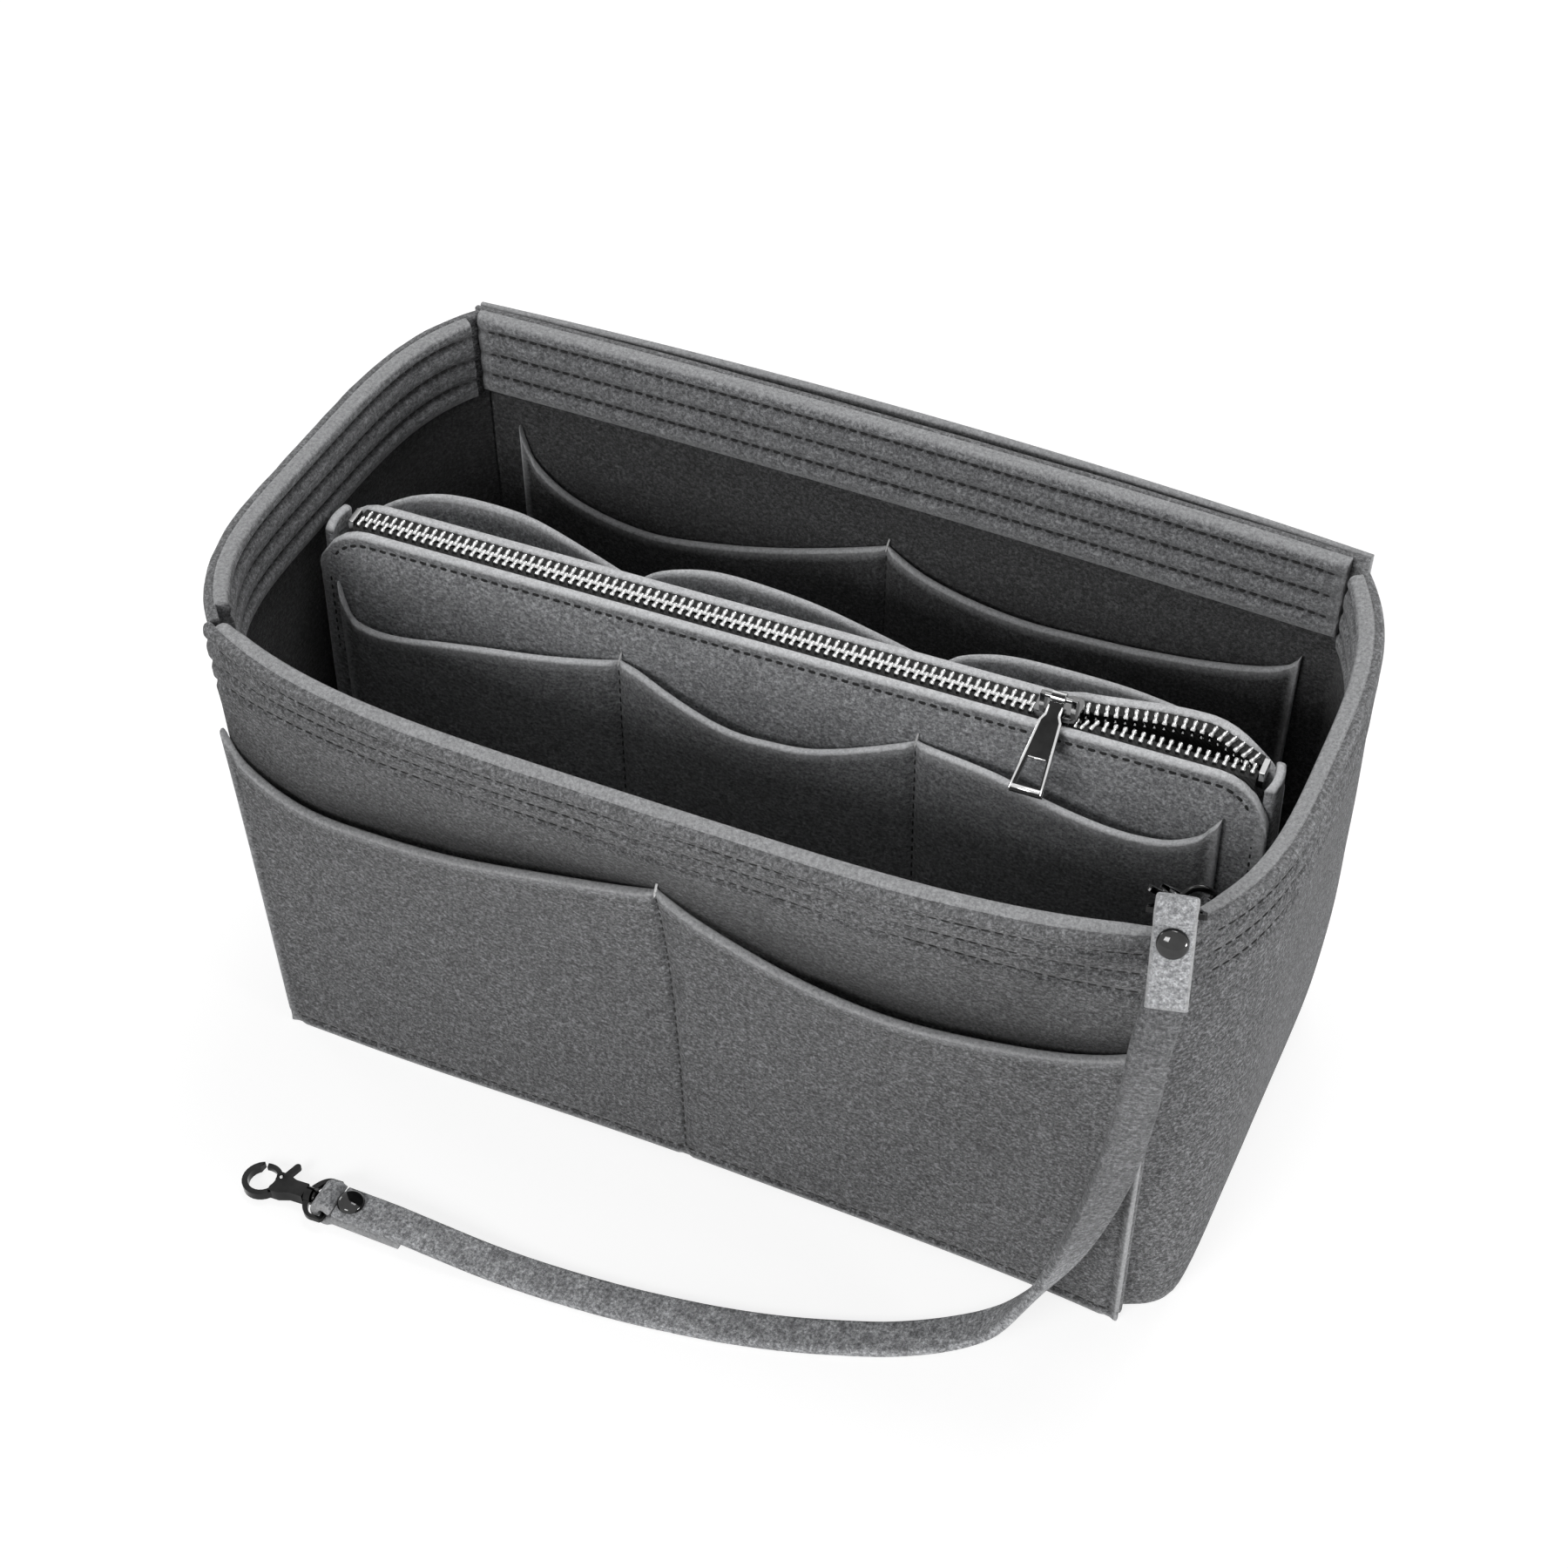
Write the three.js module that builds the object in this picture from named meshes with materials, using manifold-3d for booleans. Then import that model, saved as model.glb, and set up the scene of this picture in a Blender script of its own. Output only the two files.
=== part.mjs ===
// Purse organizer insert in grey felt: an open body with sewn pockets, a zip pouch that lifts out, and a key leash.
// Millimetres. +X runs along the length to the right, +Y to the back, +Z up. The origin is under the middle of
// the base, on the surface that it stands on.

import * as THREE from "three";
import { mergeVertices } from "three/addons/utils/BufferGeometryUtils.js";
import Module from "manifold-3d";

const wasm = await Module();
wasm.setup();
const { Vector2, Vector3 } = THREE;
const { lerp, smoothstep, degToRad } = THREE.MathUtils;

// Felt and fits
const felt = 3;
const pocketFelt = 2.6;
const clearance = 0.3;
const overrun = 1;
const round = 20;

// Body, measured over the felt at its corners
const bodyHeight = 158;
const rimHalfLength = 134.5;
const baseHalfLength = 129.5;
const rimHalfDepth = 75.5;
const baseHalfDepth = 70.5;
const frontBow = 16.5;
const backBow = 2.5;
const rimRightBulge = 17.2;
const rimLeftBulge = 15.5;
const baseLeftBulge = 14.8;
const baseRightBulge = 10.8;
const bulgeRise = 4;
const facingDepth = 26;
const frontRise = 3.5;
const frontFlatness = 4;
const frontLeanShare = 0.1;
const leftFlatness = 4;
const rightRimFlatness = 3.4;
const rightBaseFlatness = 14;
const flatnessRise = 2.2;
const sideLeanShare = 0.1;
const frontFacingShare = 0.965;
const sideFacingShare = 0.9;

// Pockets of the body: a pocket's top edge stands this far below the rim at its ends and seam, and is scooped between.
// A scoop's shares are [share of the way along, share of the scoop's depth].
const outerPocketDrop = 37;
const outerPocketSeamDrop = 34;
const outerPocketScoop = 16;
const outerPocketSlack = 4;
const outerLeftShares = [[0, 0], [0.05, 0.6], [0.2, 1], [0.4, 0.86], [0.7, 0.42], [1, 0]];
const outerRightShares = [[0, 0], [0.1, 0.42], [0.3, 0.88], [0.52, 1], [0.78, 0.72], [0.94, 0.36], [1, 0]];
const innerPocketDrop = 37;
const innerPocketSeamDrop = 43;
const innerPocketHalfLength = 122;
const innerPocketSeam = -3;
const innerPocketScoop = 22;
const innerPocketSlack = 3.5;
const innerLeftShares = [[0, 0], [0.04, 0.55], [0.16, 0.92], [0.36, 1], [0.6, 0.74], [0.82, 0.35], [1, 0]];
const innerRightShares = [[0, 0], [0.12, 0.32], [0.34, 0.52], [0.6, 0.5], [0.86, 0.36], [0.97, 0.2], [1, 0]];
const backPocketDrop = 1;
const backPocketSlack = 3;

// Pouch, in its own frame: its middle at the origin, standing on z = 0
const pouchTurn = degToRad(2.3);
const pouchShiftX = -3;
const pouchShiftY = 1.75;
const pouchHalfLength = 137.5;
const pouchHeight = 136.2;
const pouchHalfDepth = 9;
const pouchTopHalfDepth = 8.7;
const pouchCorner = 15;
const gussetFelt = 2.6;
const gussetDrop = 1.7;
const gussetLean = 1.5;
const gussetLeanHeight = 40;
const gussetCorner = 7;
const pouchFrontSeams = [-131, -44.5, 42, 126];
const pouchFrontDrops = [16.2, 16.2, 14.9, 12.2];
const pouchFrontScoops = [12.6, 9.5, 9.5];
const pouchFrontSlack = 6;
const pouchFrontShares = [
  [[0, 0], [0.02, 0.6], [0.05, 0.94], [0.1, 1], [0.17, 0.97], [0.28, 0.8], [0.38, 0.6], [0.57, 0.31], [0.75, 0.16], [1, 0]],
  [[0, 0], [0.07, 0.05], [0.17, 0.38], [0.26, 0.65], [0.35, 0.88], [0.44, 1], [0.53, 0.98], [0.65, 0.93], [0.76, 0.7], [0.87, 0.38], [1, 0]],
  [[0, 0], [0.16, -0.08], [0.31, 0.02], [0.46, 0.4], [0.57, 0.66], [0.69, 0.9], [0.8, 1], [0.87, 0.94], [0.94, 0.67], [0.97, 0.35], [1, 0]],
];
const pouchRearSeams = [-129, -48, 41, 127];
const pouchRearDrops = [7.2, 6.2, 6.2, 7.2];
const pouchRearScoops = [5, 5, 5];
const pouchRearSlack = 24;
const pouchRearShares = [[0, 0], [0.12, 0.6], [0.35, 1], [0.7, 0.7], [1, 0]];

// Zip chain, in the pouch's frame
const chainHalfWidth = 2.9;
const chainHeight = 3;
const chainRise = 0.7;
const beadInner = 1.1;
const toothReach = 0.6;
const toothWidth = 0.95;
const toothPitch = 2.5;
const chainLeft = -128;
const chainRight = 132;
const tapeThick = 0.5;
const tapeLeg = 12;
const stopLength = 1.6;
const sliderAt = 77.5;
const rowOpening = 1.6;
const rowOpeningRun = 7;
const rearOpening = 5;
const rearOpeningRun = 38;
const rowsMeet = 17;
const rowsMeetPast = 3;
const rearBulgeDepth = 45;

// Slider, crown and pull
const sliderHalfLength = 6;
const sliderMouthHalf = 4.6;
const sliderTailHalf = 4;
const sliderWaistHalf = 3.8;
const sliderPlate = 1.3;
const sliderWall = 0.6;
const sliderWallEnd = 0.5;
const wedgeLength = 2.6;
const wedgeHalfWidth = 0.6;
const crownHalfLength = 5;
const crownPost = 1.3;
const crownHeight = 3;
const crownBar = 0.75;
const crownForward = 0.6;
const knuckleBore = 1.05;
const knuckleRadius = 1.75;
const knuckleHalf = 1.9;
const pullLean = degToRad(27);
const pullThick = 1.3;
const pullLength = 27.6;
const pullNeckHalf = 2;
const pullNeckLength = 5.5;
const pullShoulderHalf = 2.9;
const pullShoulder = 7;
const pullFootHalf = 4.5;
const pullWindowTop = 17.5;
const pullWindowRim = 1.1;
const pullBar = 2.3;

// Leash: a flat felt strap with a riveted fold and a trigger clasp at each end
const strapWidth = 10.3;
const strapFelt = 2.8;
const foldRadius = 3;
const rivetFromBar = 6.4;
const rivetCapRadius = 3.95;
const rivetCapHeight = 1.8;
const rivetPostRadius = 1.3;
const rivetBackRadius = 3.4;
const rivetBackThick = 0.8;
const foldTail = 23.6;
const upperBarFromRim = new Vector3(133.7, -75.3, 10.4);
const upperTabUp = new Vector3(-3.5, 12, 25).normalize();
const upperBarTurn = degToRad(13);
const farBar = new Vector3(-82.3, -129.3, 4.5);
const farStrapAlong = new Vector3(-26, -0.2, 0).normalize();

// The strap's route between its two folds: x, y, z of its middle and the turn of its width from +X, in degrees. Its
// heights are for a rim at strapRouteRim.
const strapRouteRim = 158;
const strapRoute = [
  [134.4, -87.4, 132, 14],
  [133.4, -87.6, 116, 16],
  [131.5, -87, 99, 20],
  [129, -86.8, 82, 26],
  [125.3, -86.8, 65, 34],
  [120.8, -87.2, 48, 46],
  [115.8, -88, 33, 60],
  [109.3, -89.8, 19.5, 76],
  [101.8, -92.6, 9, 90],
  [92, -97, 3.6, 102],
  [78, -104.2, 1.8, 111],
  [64, -110, 1.6, 111],
  [49.2, -115.2, 1.6, 107],
  [33, -119.5, 1.6, 103],
  [17, -122.6, 1.6, 100],
  [2.2, -124.8, 1.6, 97],
  [-18.5, -126.8, 1.8, 95],
  [-34, -128.2, 3.2, 94],
  [-48, -129, 5, 92],
];

// Trigger clasp, in its own frame: the strap's bar at the origin, the hook's tip along +X, the thumb side +Y
const bailWire = 1.35;
const bailBarBack = 0.45;
const bailHalfWidth = 7.2;
const bailSlotHalf = 6;
const bailSlotEnd = 6;
const bailEnd = 8;
const bailNeckHalf = 2.4;
const swivelBore = 1.35;
const swivelBoss = 2.5;
const swivelStem = 1;
const swivelHead = 1.9;
const swivelHeadThick = 0.7;
const hookNeckHalf = 2.4;
const hookCheekHalf = 3.5;
const hookCheekEnd = 18.6;
const hookThick = 3.6;
const hookCentre = 22.3;
const hookRadius = 5.9;
const hookBore = 4.2;
const hookRingThick = 2.4;
const gateFrom = degToRad(73);
const gateTo = degToRad(152);
const gateRelief = degToRad(53);
const gateSlot = 2;
const gateSlotFrom = 14.4;
const gateSlotFloor = -0.6;
const leverPivot = new Vector2(17.1, 1.9);
const leverThick = 1.4;
const leverBoss = 1.9;
const leverWire = 1.5;
const thumbReach = new Vector2(-1.9, 5.6);
const thumbHalf = 0.95;
const pinRadius = 0.6;
const pinBore = 0.78;
const upperClaspAlong = new Vector3(-4.6, 18.6, -15.6).normalize();
const upperHookTurn = degToRad(203);
const farClaspAlong = new Vector3(-26, -0.6, -1.8).normalize();
const farHookTurn = degToRad(180);

// D-ring in the right front corner, and the felt loop that holds it
const ringWire = 0.9;
const ringRadius = 5;
const ringSides = 6;
const ringSlack = 2;
const ringBarFromRim = new Vector3(134.8, -54.4, -9.1);
const ringWallTurn = degToRad(69.4);
const loopWidth = 7;
const loopFelt = 1;
const loopLength = 12;

const materials = {
  felt: new THREE.MeshStandardMaterial({ color: 0x616265, roughness: 0.95, metalness: 0 }),
  darkFelt: new THREE.MeshStandardMaterial({ color: 0x55565a, roughness: 0.95, metalness: 0 }),
  tape: new THREE.MeshStandardMaterial({ color: 0x1c1c1e, roughness: 0.8, metalness: 0 }),
  silver: new THREE.MeshStandardMaterial({ color: 0xc9c9cb, roughness: 0.28, metalness: 1 }),
  blackNickel: new THREE.MeshStandardMaterial({ color: 0x3a3a3e, roughness: 0.16, metalness: 1 }),
};

const organizer = new THREE.Group();

function place(group, name, geometry, material) {
  const mesh = new THREE.Mesh(geometry, material);
  mesh.name = name;
  group.add(mesh);
  return mesh;
}

// A closed geometry from points and triangles, turned so that its faces point out
function closedGeometry(points, faces) {
  let volume = 0;
  for (let i = 0; i < faces.length; i += 3) {
    const [a, b, c] = [points[faces[i]], points[faces[i + 1]], points[faces[i + 2]]];
    volume += a.dot(new Vector3().crossVectors(b, c));
  }
  const index = volume < 0 ? faces.toReversed() : faces;
  const geometry = new THREE.BufferGeometry().setFromPoints(points).setIndex(index);
  geometry.computeVertexNormals();
  return geometry;
}

// The solid between two grids of points: columns of rows
function slab(near, far) {
  const wide = near.length;
  const tall = near[0].length;
  const faces = [];
  const id = (layer, i, j) => (layer * wide + i) * tall + j;
  const quad = (a, b, c, d) => faces.push(a, b, c, a, c, d);
  for (let i = 0; i < wide - 1; i++) {
    for (let j = 0; j < tall - 1; j++) {
      quad(id(0, i, j), id(0, i, j + 1), id(0, i + 1, j + 1), id(0, i + 1, j));
      quad(id(1, i, j), id(1, i + 1, j), id(1, i + 1, j + 1), id(1, i, j + 1));
    }
    quad(id(0, i, 0), id(0, i + 1, 0), id(1, i + 1, 0), id(1, i, 0));
    quad(id(0, i, tall - 1), id(1, i, tall - 1), id(1, i + 1, tall - 1), id(0, i + 1, tall - 1));
  }
  for (let j = 0; j < tall - 1; j++) {
    quad(id(0, 0, j), id(1, 0, j), id(1, 0, j + 1), id(0, 0, j + 1));
    quad(id(0, wide - 1, j), id(0, wide - 1, j + 1), id(1, wide - 1, j + 1), id(1, wide - 1, j));
  }
  return closedGeometry([...near.flat(), ...far.flat()], faces);
}

// The solid through a row of like sections; the two ends are closed with the flat outline's triangles
function loft(sections, outline) {
  const count = outline.length;
  const faces = [];
  for (let i = 0; i < sections.length - 1; i++) {
    for (let j = 0; j < count; j++) {
      const k = (j + 1) % count;
      const [a, b] = [i * count + j, i * count + k];
      faces.push(a, a + count, b + count, a, b + count, b);
    }
  }
  const last = (sections.length - 1) * count;
  for (const [a, b, c] of THREE.ShapeUtils.triangulateShape(outline, [])) {
    const first = THREE.ShapeUtils.area(outline) > 0 ? [a, b, c] : [a, c, b];
    faces.push(...first, last + first[0], last + first[2], last + first[1]);
  }
  return closedGeometry(sections.flat(), faces);
}

// Booleans
function solidOf(geometry) {
  const bare = geometry.clone();
  bare.deleteAttribute("normal");
  bare.deleteAttribute("uv");
  const merged = mergeVertices(bare);
  return new wasm.Manifold(
    new wasm.Mesh({
      numProp: 3,
      vertProperties: new Float32Array(merged.attributes.position.array),
      triVerts: new Uint32Array(merged.index.array),
    }),
  );
}

function geometryOf(solid) {
  const { vertProperties, triVerts } = solid.getMesh();
  const geometry = new THREE.BufferGeometry();
  geometry.setAttribute("position", new THREE.BufferAttribute(vertProperties, 3));
  geometry.setIndex(new THREE.BufferAttribute(triVerts, 1));
  geometry.computeVertexNormals();
  return geometry;
}

const joined = (...pieces) => geometryOf(pieces.map(solidOf).reduce((a, b) => a.add(b)));
const cut = (piece, ...tools) =>
  geometryOf(tools.map(solidOf).reduce((left, tool) => left.subtract(tool), solidOf(piece)));

// Plates and rods
function outlineOf(points) {
  return new THREE.Shape(points.map(([x, y]) => new Vector2(x, y)));
}

function plate(shape, thick) {
  const geometry = new THREE.ExtrudeGeometry(shape, { depth: thick, bevelEnabled: false, curveSegments: 12 });
  return geometry.translate(0, 0, -thick / 2);
}

function disc(radius, thick, sides = round) {
  return new THREE.CylinderGeometry(radius, radius, thick, sides).rotateX(Math.PI / 2);
}

const rodAlongX = (radius, from, to) =>
  new THREE.CylinderGeometry(radius, radius, to - from, round).rotateZ(Math.PI / 2).translate((from + to) / 2, 0, 0);

const boxBetween = (x0, x1, y0, y1, z0, z1) =>
  new THREE.BoxGeometry(x1 - x0, y1 - y0, z1 - z0).translate((x0 + x1) / 2, (y0 + y1) / 2, (z0 + z1) / 2);

const atRim = (place) => place.clone().add(new Vector3(0, 0, bodyHeight));
const upperBar = atRim(upperBarFromRim);
const ringBar = atRim(ringBarFromRim);
const gussetTop = pouchHeight - gussetDrop;
const strapHeight = (z) => strapFelt / 2 + ((z - strapFelt / 2) * bodyHeight) / strapRouteRim;

// Walls: at(s, z) is a point of the outer face, s running from -1 to 1 along the wall; out is the way that it faces.
const halfLengthAt = (z) => lerp(baseHalfLength, rimHalfLength, z / bodyHeight);
const halfDepthAt = (z) => lerp(baseHalfDepth, rimHalfDepth, z / bodyHeight);

const frontWall = {
  out: new Vector3(0, -1, 0),
  at(s, z) {
    const bow = (z / bodyHeight) ** frontRise * (1 - s ** frontFlatness) * (1 - frontLeanShare * s);
    return new Vector3(s * halfLengthAt(z), -halfDepthAt(z) - frontBow * bow, z);
  },
};

const backWall = {
  out: new Vector3(0, 1, 0),
  at(s, z) {
    return new Vector3(s * halfLengthAt(z), halfDepthAt(z) + backBow * (z / bodyHeight) * (1 - s * s), z);
  },
};

const sideWall = (side) => ({
  out: new Vector3(side, 0, 0),
  at(s, z) {
    const below = 1 - Math.min(z / bodyHeight, 1);
    const most = side > 0 ? lerp(rimRightBulge, baseRightBulge, below ** bulgeRise) : lerp(rimLeftBulge, baseLeftBulge, below);
    const flatness = side > 0 ? lerp(rightRimFlatness, rightBaseFlatness, below ** flatnessRise) : leftFlatness;
    const bulge = most * (1 - Math.abs(s) ** flatness) * (1 - sideLeanShare * s);
    return new Vector3(side * (halfLengthAt(z) + bulge), s * (halfDepthAt(z) - felt - clearance), z);
  },
});

// A point at a distance outside a wall's outer face, or inside it where the distance is negative
function standingOff(wall, s, z, distance) {
  const nudge = 1e-3;
  const along = wall.at(s + nudge, z).sub(wall.at(s - nudge, z));
  const up = wall.at(s, z + nudge * bodyHeight).sub(wall.at(s, z - nudge * bodyHeight * (z > nudge * bodyHeight)));
  const normal = along.cross(up).normalize();
  if (normal.dot(wall.out) < 0) normal.negate();
  return wall.at(s, z).addScaledVector(normal, distance);
}

// A felt sheet on a wall, with a row of points at each of the shares of its height. Each column has its share s of
// the wall's length, its bottom and top, and off(up), the distance from the wall to the sheet's near face. No sheet
// reaches below the floor.
function sheetOn(wall, columns, rowShares, thick) {
  const grid = (extra) =>
    columns.map(({ s, bottom, top, off }) =>
      rowShares.map((up) => {
        const point = standingOff(wall, s, lerp(bottom, top, up), off(up) + extra);
        return point.setZ(Math.max(0, point.z));
      }),
    );
  return slab(grid(0), grid(thick));
}

const evenShares = (count) => Array.from({ length: count + 1 }, (_, i) => i / count);

// The shares of a wall's length that its panel and its facing have in common
function wallShares(count, facingShare) {
  const inner = evenShares(count).map((share) => lerp(-1, 1, share));
  const kept = inner.filter((share) => Math.abs(share) < facingShare - 1 / (2 * count));
  return [-facingShare, ...kept, facingShare];
}

const straightColumns = (shares, bottom, top, distance) =>
  shares.map((s) => ({ s, bottom, top, off: () => distance }));

// The columns of a pocket: between its seams the top edge is scooped and the sheet stands off the wall.
function pocketColumns({ seams, heights, scoops, shares, slack, bottom, steps, slackPower, gap = clearance }) {
  const columns = [];
  for (let i = 0; i < seams.length - 1; i++) {
    const edge = new THREE.SplineCurve(shares[i].map(([x, y]) => new Vector2(x, y)));
    for (let k = i ? 1 : 0; k <= steps; k++) {
      const { x: along, y: depth } = edge.getPoint(k / steps);
      const away = slack * Math.sin(Math.PI * along) ** 0.75;
      columns.push({
        s: lerp(seams[i], seams[i + 1], along),
        bottom,
        top: lerp(heights[i], heights[i + 1], along) - scoops[i] * depth,
        off: (up) => gap + away * up ** slackPower,
      });
    }
  }
  return columns;
}

const facingFrom = 1 - facingDepth / bodyHeight;
const frontRows = [0, 0.3, 0.5, 0.68, facingFrom, (1 + facingFrom) / 2, 1];
const plainRows = [0, facingFrom, 1];
const frontShares = wallShares(16, frontFacingShare);
const backShares = wallShares(8, frontFacingShare);
const sideShares = wallShares(14, sideFacingShare);

function addBodyPanels() {
  const panel = (wall, shares, rowShares) =>
    sheetOn(wall, straightColumns([-1, ...shares, 1], 0, bodyHeight, -felt), rowShares, felt);
  place(organizer, "front_panel", panel(frontWall, frontShares, frontRows), materials.felt);
  place(organizer, "back_panel", panel(backWall, backShares, plainRows), materials.felt);
  place(organizer, "left_side_panel", panel(sideWall(-1), sideShares, plainRows), materials.felt);
  place(organizer, "right_side_panel", panel(sideWall(1), sideShares, plainRows), materials.felt);
}

// The base fills the outline inside the four walls.
function addBase() {
  const steps = 14;
  const corner = (side, s) => standingOff(sideWall(side), s, 0, -felt - clearance);
  const points = [];
  for (let i = 0; i <= steps; i++) points.push(corner(1, lerp(-1, 1, i / steps)));
  for (let i = 0; i <= steps; i++) points.push(corner(-1, lerp(1, -1, i / steps)));
  const shape = outlineOf(points.map(({ x, y }) => [x, y]));
  place(organizer, "base_panel", plate(shape, felt).translate(0, 0, felt / 2), materials.felt);
}

// The facings double the felt along the inside of the rim.
function addFacings() {
  const bottom = bodyHeight - facingDepth;
  const inward = -2 * felt - clearance;
  const facing = (wall, shares, rows) =>
    sheetOn(wall, straightColumns(shares, bottom, bodyHeight, inward), evenShares(rows), felt);
  place(organizer, "front_facing", facing(frontWall, frontShares, 2), materials.felt);
  place(organizer, "back_facing", facing(backWall, backShares, 1), materials.felt);
  place(organizer, "left_facing", facing(sideWall(-1), sideShares, 1), materials.felt);
  place(organizer, "right_facing", facing(sideWall(1), sideShares, 1), materials.felt);
}

function addBodyPockets() {
  const outer = pocketColumns({
    seams: [-1, 0, 1],
    heights: [outerPocketDrop, outerPocketSeamDrop, outerPocketDrop].map((drop) => bodyHeight - drop),
    scoops: [outerPocketScoop, outerPocketScoop],
    shares: [outerLeftShares, outerRightShares],
    slack: outerPocketSlack,
    bottom: 0,
    steps: 12,
    slackPower: 2,
  });
  place(organizer, "front_outer_pocket", sheetOn(frontWall, outer, evenShares(4), pocketFelt), materials.felt);

  const back = [-1, ...backShares, 1].map((s) => ({
    s,
    bottom: 0,
    top: bodyHeight - backPocketDrop,
    off: (up) => clearance + backPocketSlack * (1 - s * s) * up ** 2,
  }));
  place(organizer, "back_outer_pocket", sheetOn(backWall, back, evenShares(3), pocketFelt), materials.felt);

  for (const [name, wall] of [["inner_back_pocket", backWall], ["inner_front_pocket", frontWall]]) {
    const seams = [-innerPocketHalfLength, innerPocketSeam, innerPocketHalfLength].map((x) => x / rimHalfLength);
    const columns = pocketColumns({
      seams,
      heights: [innerPocketDrop, innerPocketSeamDrop, innerPocketDrop].map((drop) => bodyHeight - drop),
      scoops: [innerPocketScoop, innerPocketScoop],
      shares: [innerLeftShares, innerRightShares],
      slack: innerPocketSlack,
      bottom: felt + clearance,
      steps: 11,
      slackPower: 2,
    });
    const inward = (off) => (up) => -felt - clearance - off(up) - pocketFelt;
    const inside = columns.map(({ off, ...rest }) => ({ ...rest, off: inward(off) }));
    place(organizer, name, sheetOn(wall, inside, evenShares(3), pocketFelt), materials.darkFelt);
  }
}

// Pouch
const pouch = new THREE.Group();
pouch.position.set(pouchShiftX, pouchShiftY, felt + clearance);
pouch.rotation.z = pouchTurn;
organizer.add(pouch);

// How far the two rows of the chain stand from its middle line where the slider has parted them
function rowPart(side, x) {
  const start = sliderAt - sliderHalfLength / 2;
  const meet = 1 - smoothstep(x, chainRight - rowsMeet, chainRight + rowsMeetPast);
  const both = rowOpening * smoothstep(x, start, start + rowOpeningRun);
  const past = sliderAt + sliderHalfLength;
  if (side < 0) return both * (1 - smoothstep(x, past, past + rowOpeningRun));
  return (both + rearOpening * smoothstep(x, start, start + rearOpeningRun)) * meet;
}

// Near its top each panel draws in to the chain, and the rear one gives way to the parted row.
const tapeFoot = pouchHeight - tapeLeg - felt;
const panelRows = [0, 0.64, 0.78, tapeFoot / pouchHeight, 0.95, 1];

function pouchDepthAt(side, x, z) {
  const bulge = side > 0 ? rowPart(side, x) * smoothstep(z, pouchHeight - rearBulgeDepth, tapeFoot) : 0;
  return lerp(pouchHalfDepth, pouchTopHalfDepth, smoothstep(z, pouchHeight - rearBulgeDepth, tapeFoot)) + bulge;
}

const pouchWall = (side) => ({
  out: new Vector3(0, side, 0),
  at: (s, z) => new Vector3(s * pouchHalfLength, side * pouchDepthAt(side, s * pouchHalfLength, z), z),
});

function pouchTopAt(x) {
  const past = Math.abs(x) - (pouchHalfLength - pouchCorner);
  if (past <= 0) return pouchHeight;
  return pouchHeight - pouchCorner + Math.sqrt(Math.max(0, pouchCorner ** 2 - past ** 2));
}

const cornerXs = evenShares(5).map((share) => pouchHalfLength - pouchCorner * (1 - Math.sin((share * Math.PI) / 2)));
const straightXs = [-0.6, -0.2, 0.2, 0.5, 0.6, 0.65, 0.7, 0.76, 0.82, 0.88, 0.94].map(
  (share) => share * (pouchHalfLength - pouchCorner),
);
const pouchXs = [...cornerXs.map((x) => -x).reverse(), ...straightXs, ...cornerXs];

function addPouchPanels() {
  for (const [name, side] of [["pouch_front_panel", -1], ["pouch_rear_panel", 1]]) {
    const columns = pouchXs.map((x) => ({ s: x / pouchHalfLength, bottom: 0, top: pouchTopAt(x), off: () => -felt }));
    place(pouch, name, sheetOn(pouchWall(side), columns, panelRows, felt), materials.felt);
  }
}

// The gusset is one strip round the ends and the bottom, between the two panels.
function addPouchGusset() {
  const outer = pouchHalfLength;
  const inner = outer - gussetFelt;
  const bore = gussetCorner - gussetFelt;
  const shape = new THREE.Shape();
  const lean = gussetTop - gussetLeanHeight;
  shape.moveTo(-outer + gussetLean, gussetTop);
  shape.lineTo(-outer, lean);
  shape.lineTo(-outer, gussetCorner);
  shape.absarc(-outer + gussetCorner, gussetCorner, gussetCorner, Math.PI, 1.5 * Math.PI, false);
  shape.absarc(outer - gussetCorner, gussetCorner, gussetCorner, 1.5 * Math.PI, 2 * Math.PI, false);
  shape.lineTo(outer, gussetTop);
  shape.lineTo(inner, gussetTop);
  shape.absarc(inner - bore, gussetFelt + bore, bore, 2 * Math.PI, 1.5 * Math.PI, true);
  shape.absarc(-inner + bore, gussetFelt + bore, bore, 1.5 * Math.PI, Math.PI, true);
  shape.lineTo(-inner, lean);
  shape.lineTo(-inner + gussetLean, gussetTop);
  const depth = 2 * (pouchTopHalfDepth - felt - clearance);
  const geometry = new THREE.ExtrudeGeometry(shape, { depth, bevelEnabled: false, curveSegments: 5 });
  geometry.translate(0, 0, -depth / 2).rotateX(Math.PI / 2);
  place(pouch, "pouch_gusset", geometry, materials.felt);
}

function addPouchPockets() {
  const front = pocketColumns({
    seams: pouchFrontSeams.map((x) => x / pouchHalfLength),
    heights: pouchFrontDrops.map((drop) => pouchHeight - drop),
    scoops: pouchFrontScoops,
    shares: pouchFrontShares,
    slack: pouchFrontSlack,
    bottom: 0,
    steps: 9,
    slackPower: 2,
  });
  place(pouch, "pouch_front_pocket", sheetOn(pouchWall(-1), front, evenShares(3), pocketFelt), materials.felt);
  const rear = pocketColumns({
    seams: pouchRearSeams.map((x) => x / pouchHalfLength),
    heights: pouchRearDrops.map((drop) => pouchHeight - drop),
    scoops: pouchRearScoops,
    shares: [pouchRearShares, pouchRearShares, pouchRearShares],
    slack: pouchRearSlack,
    bottom: 0,
    steps: 9,
    slackPower: 1.6,
    gap: 2 * clearance,
  });
  place(pouch, "pouch_rear_pocket", sheetOn(pouchWall(1), rear, evenShares(4), pocketFelt), materials.felt);
}

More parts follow.
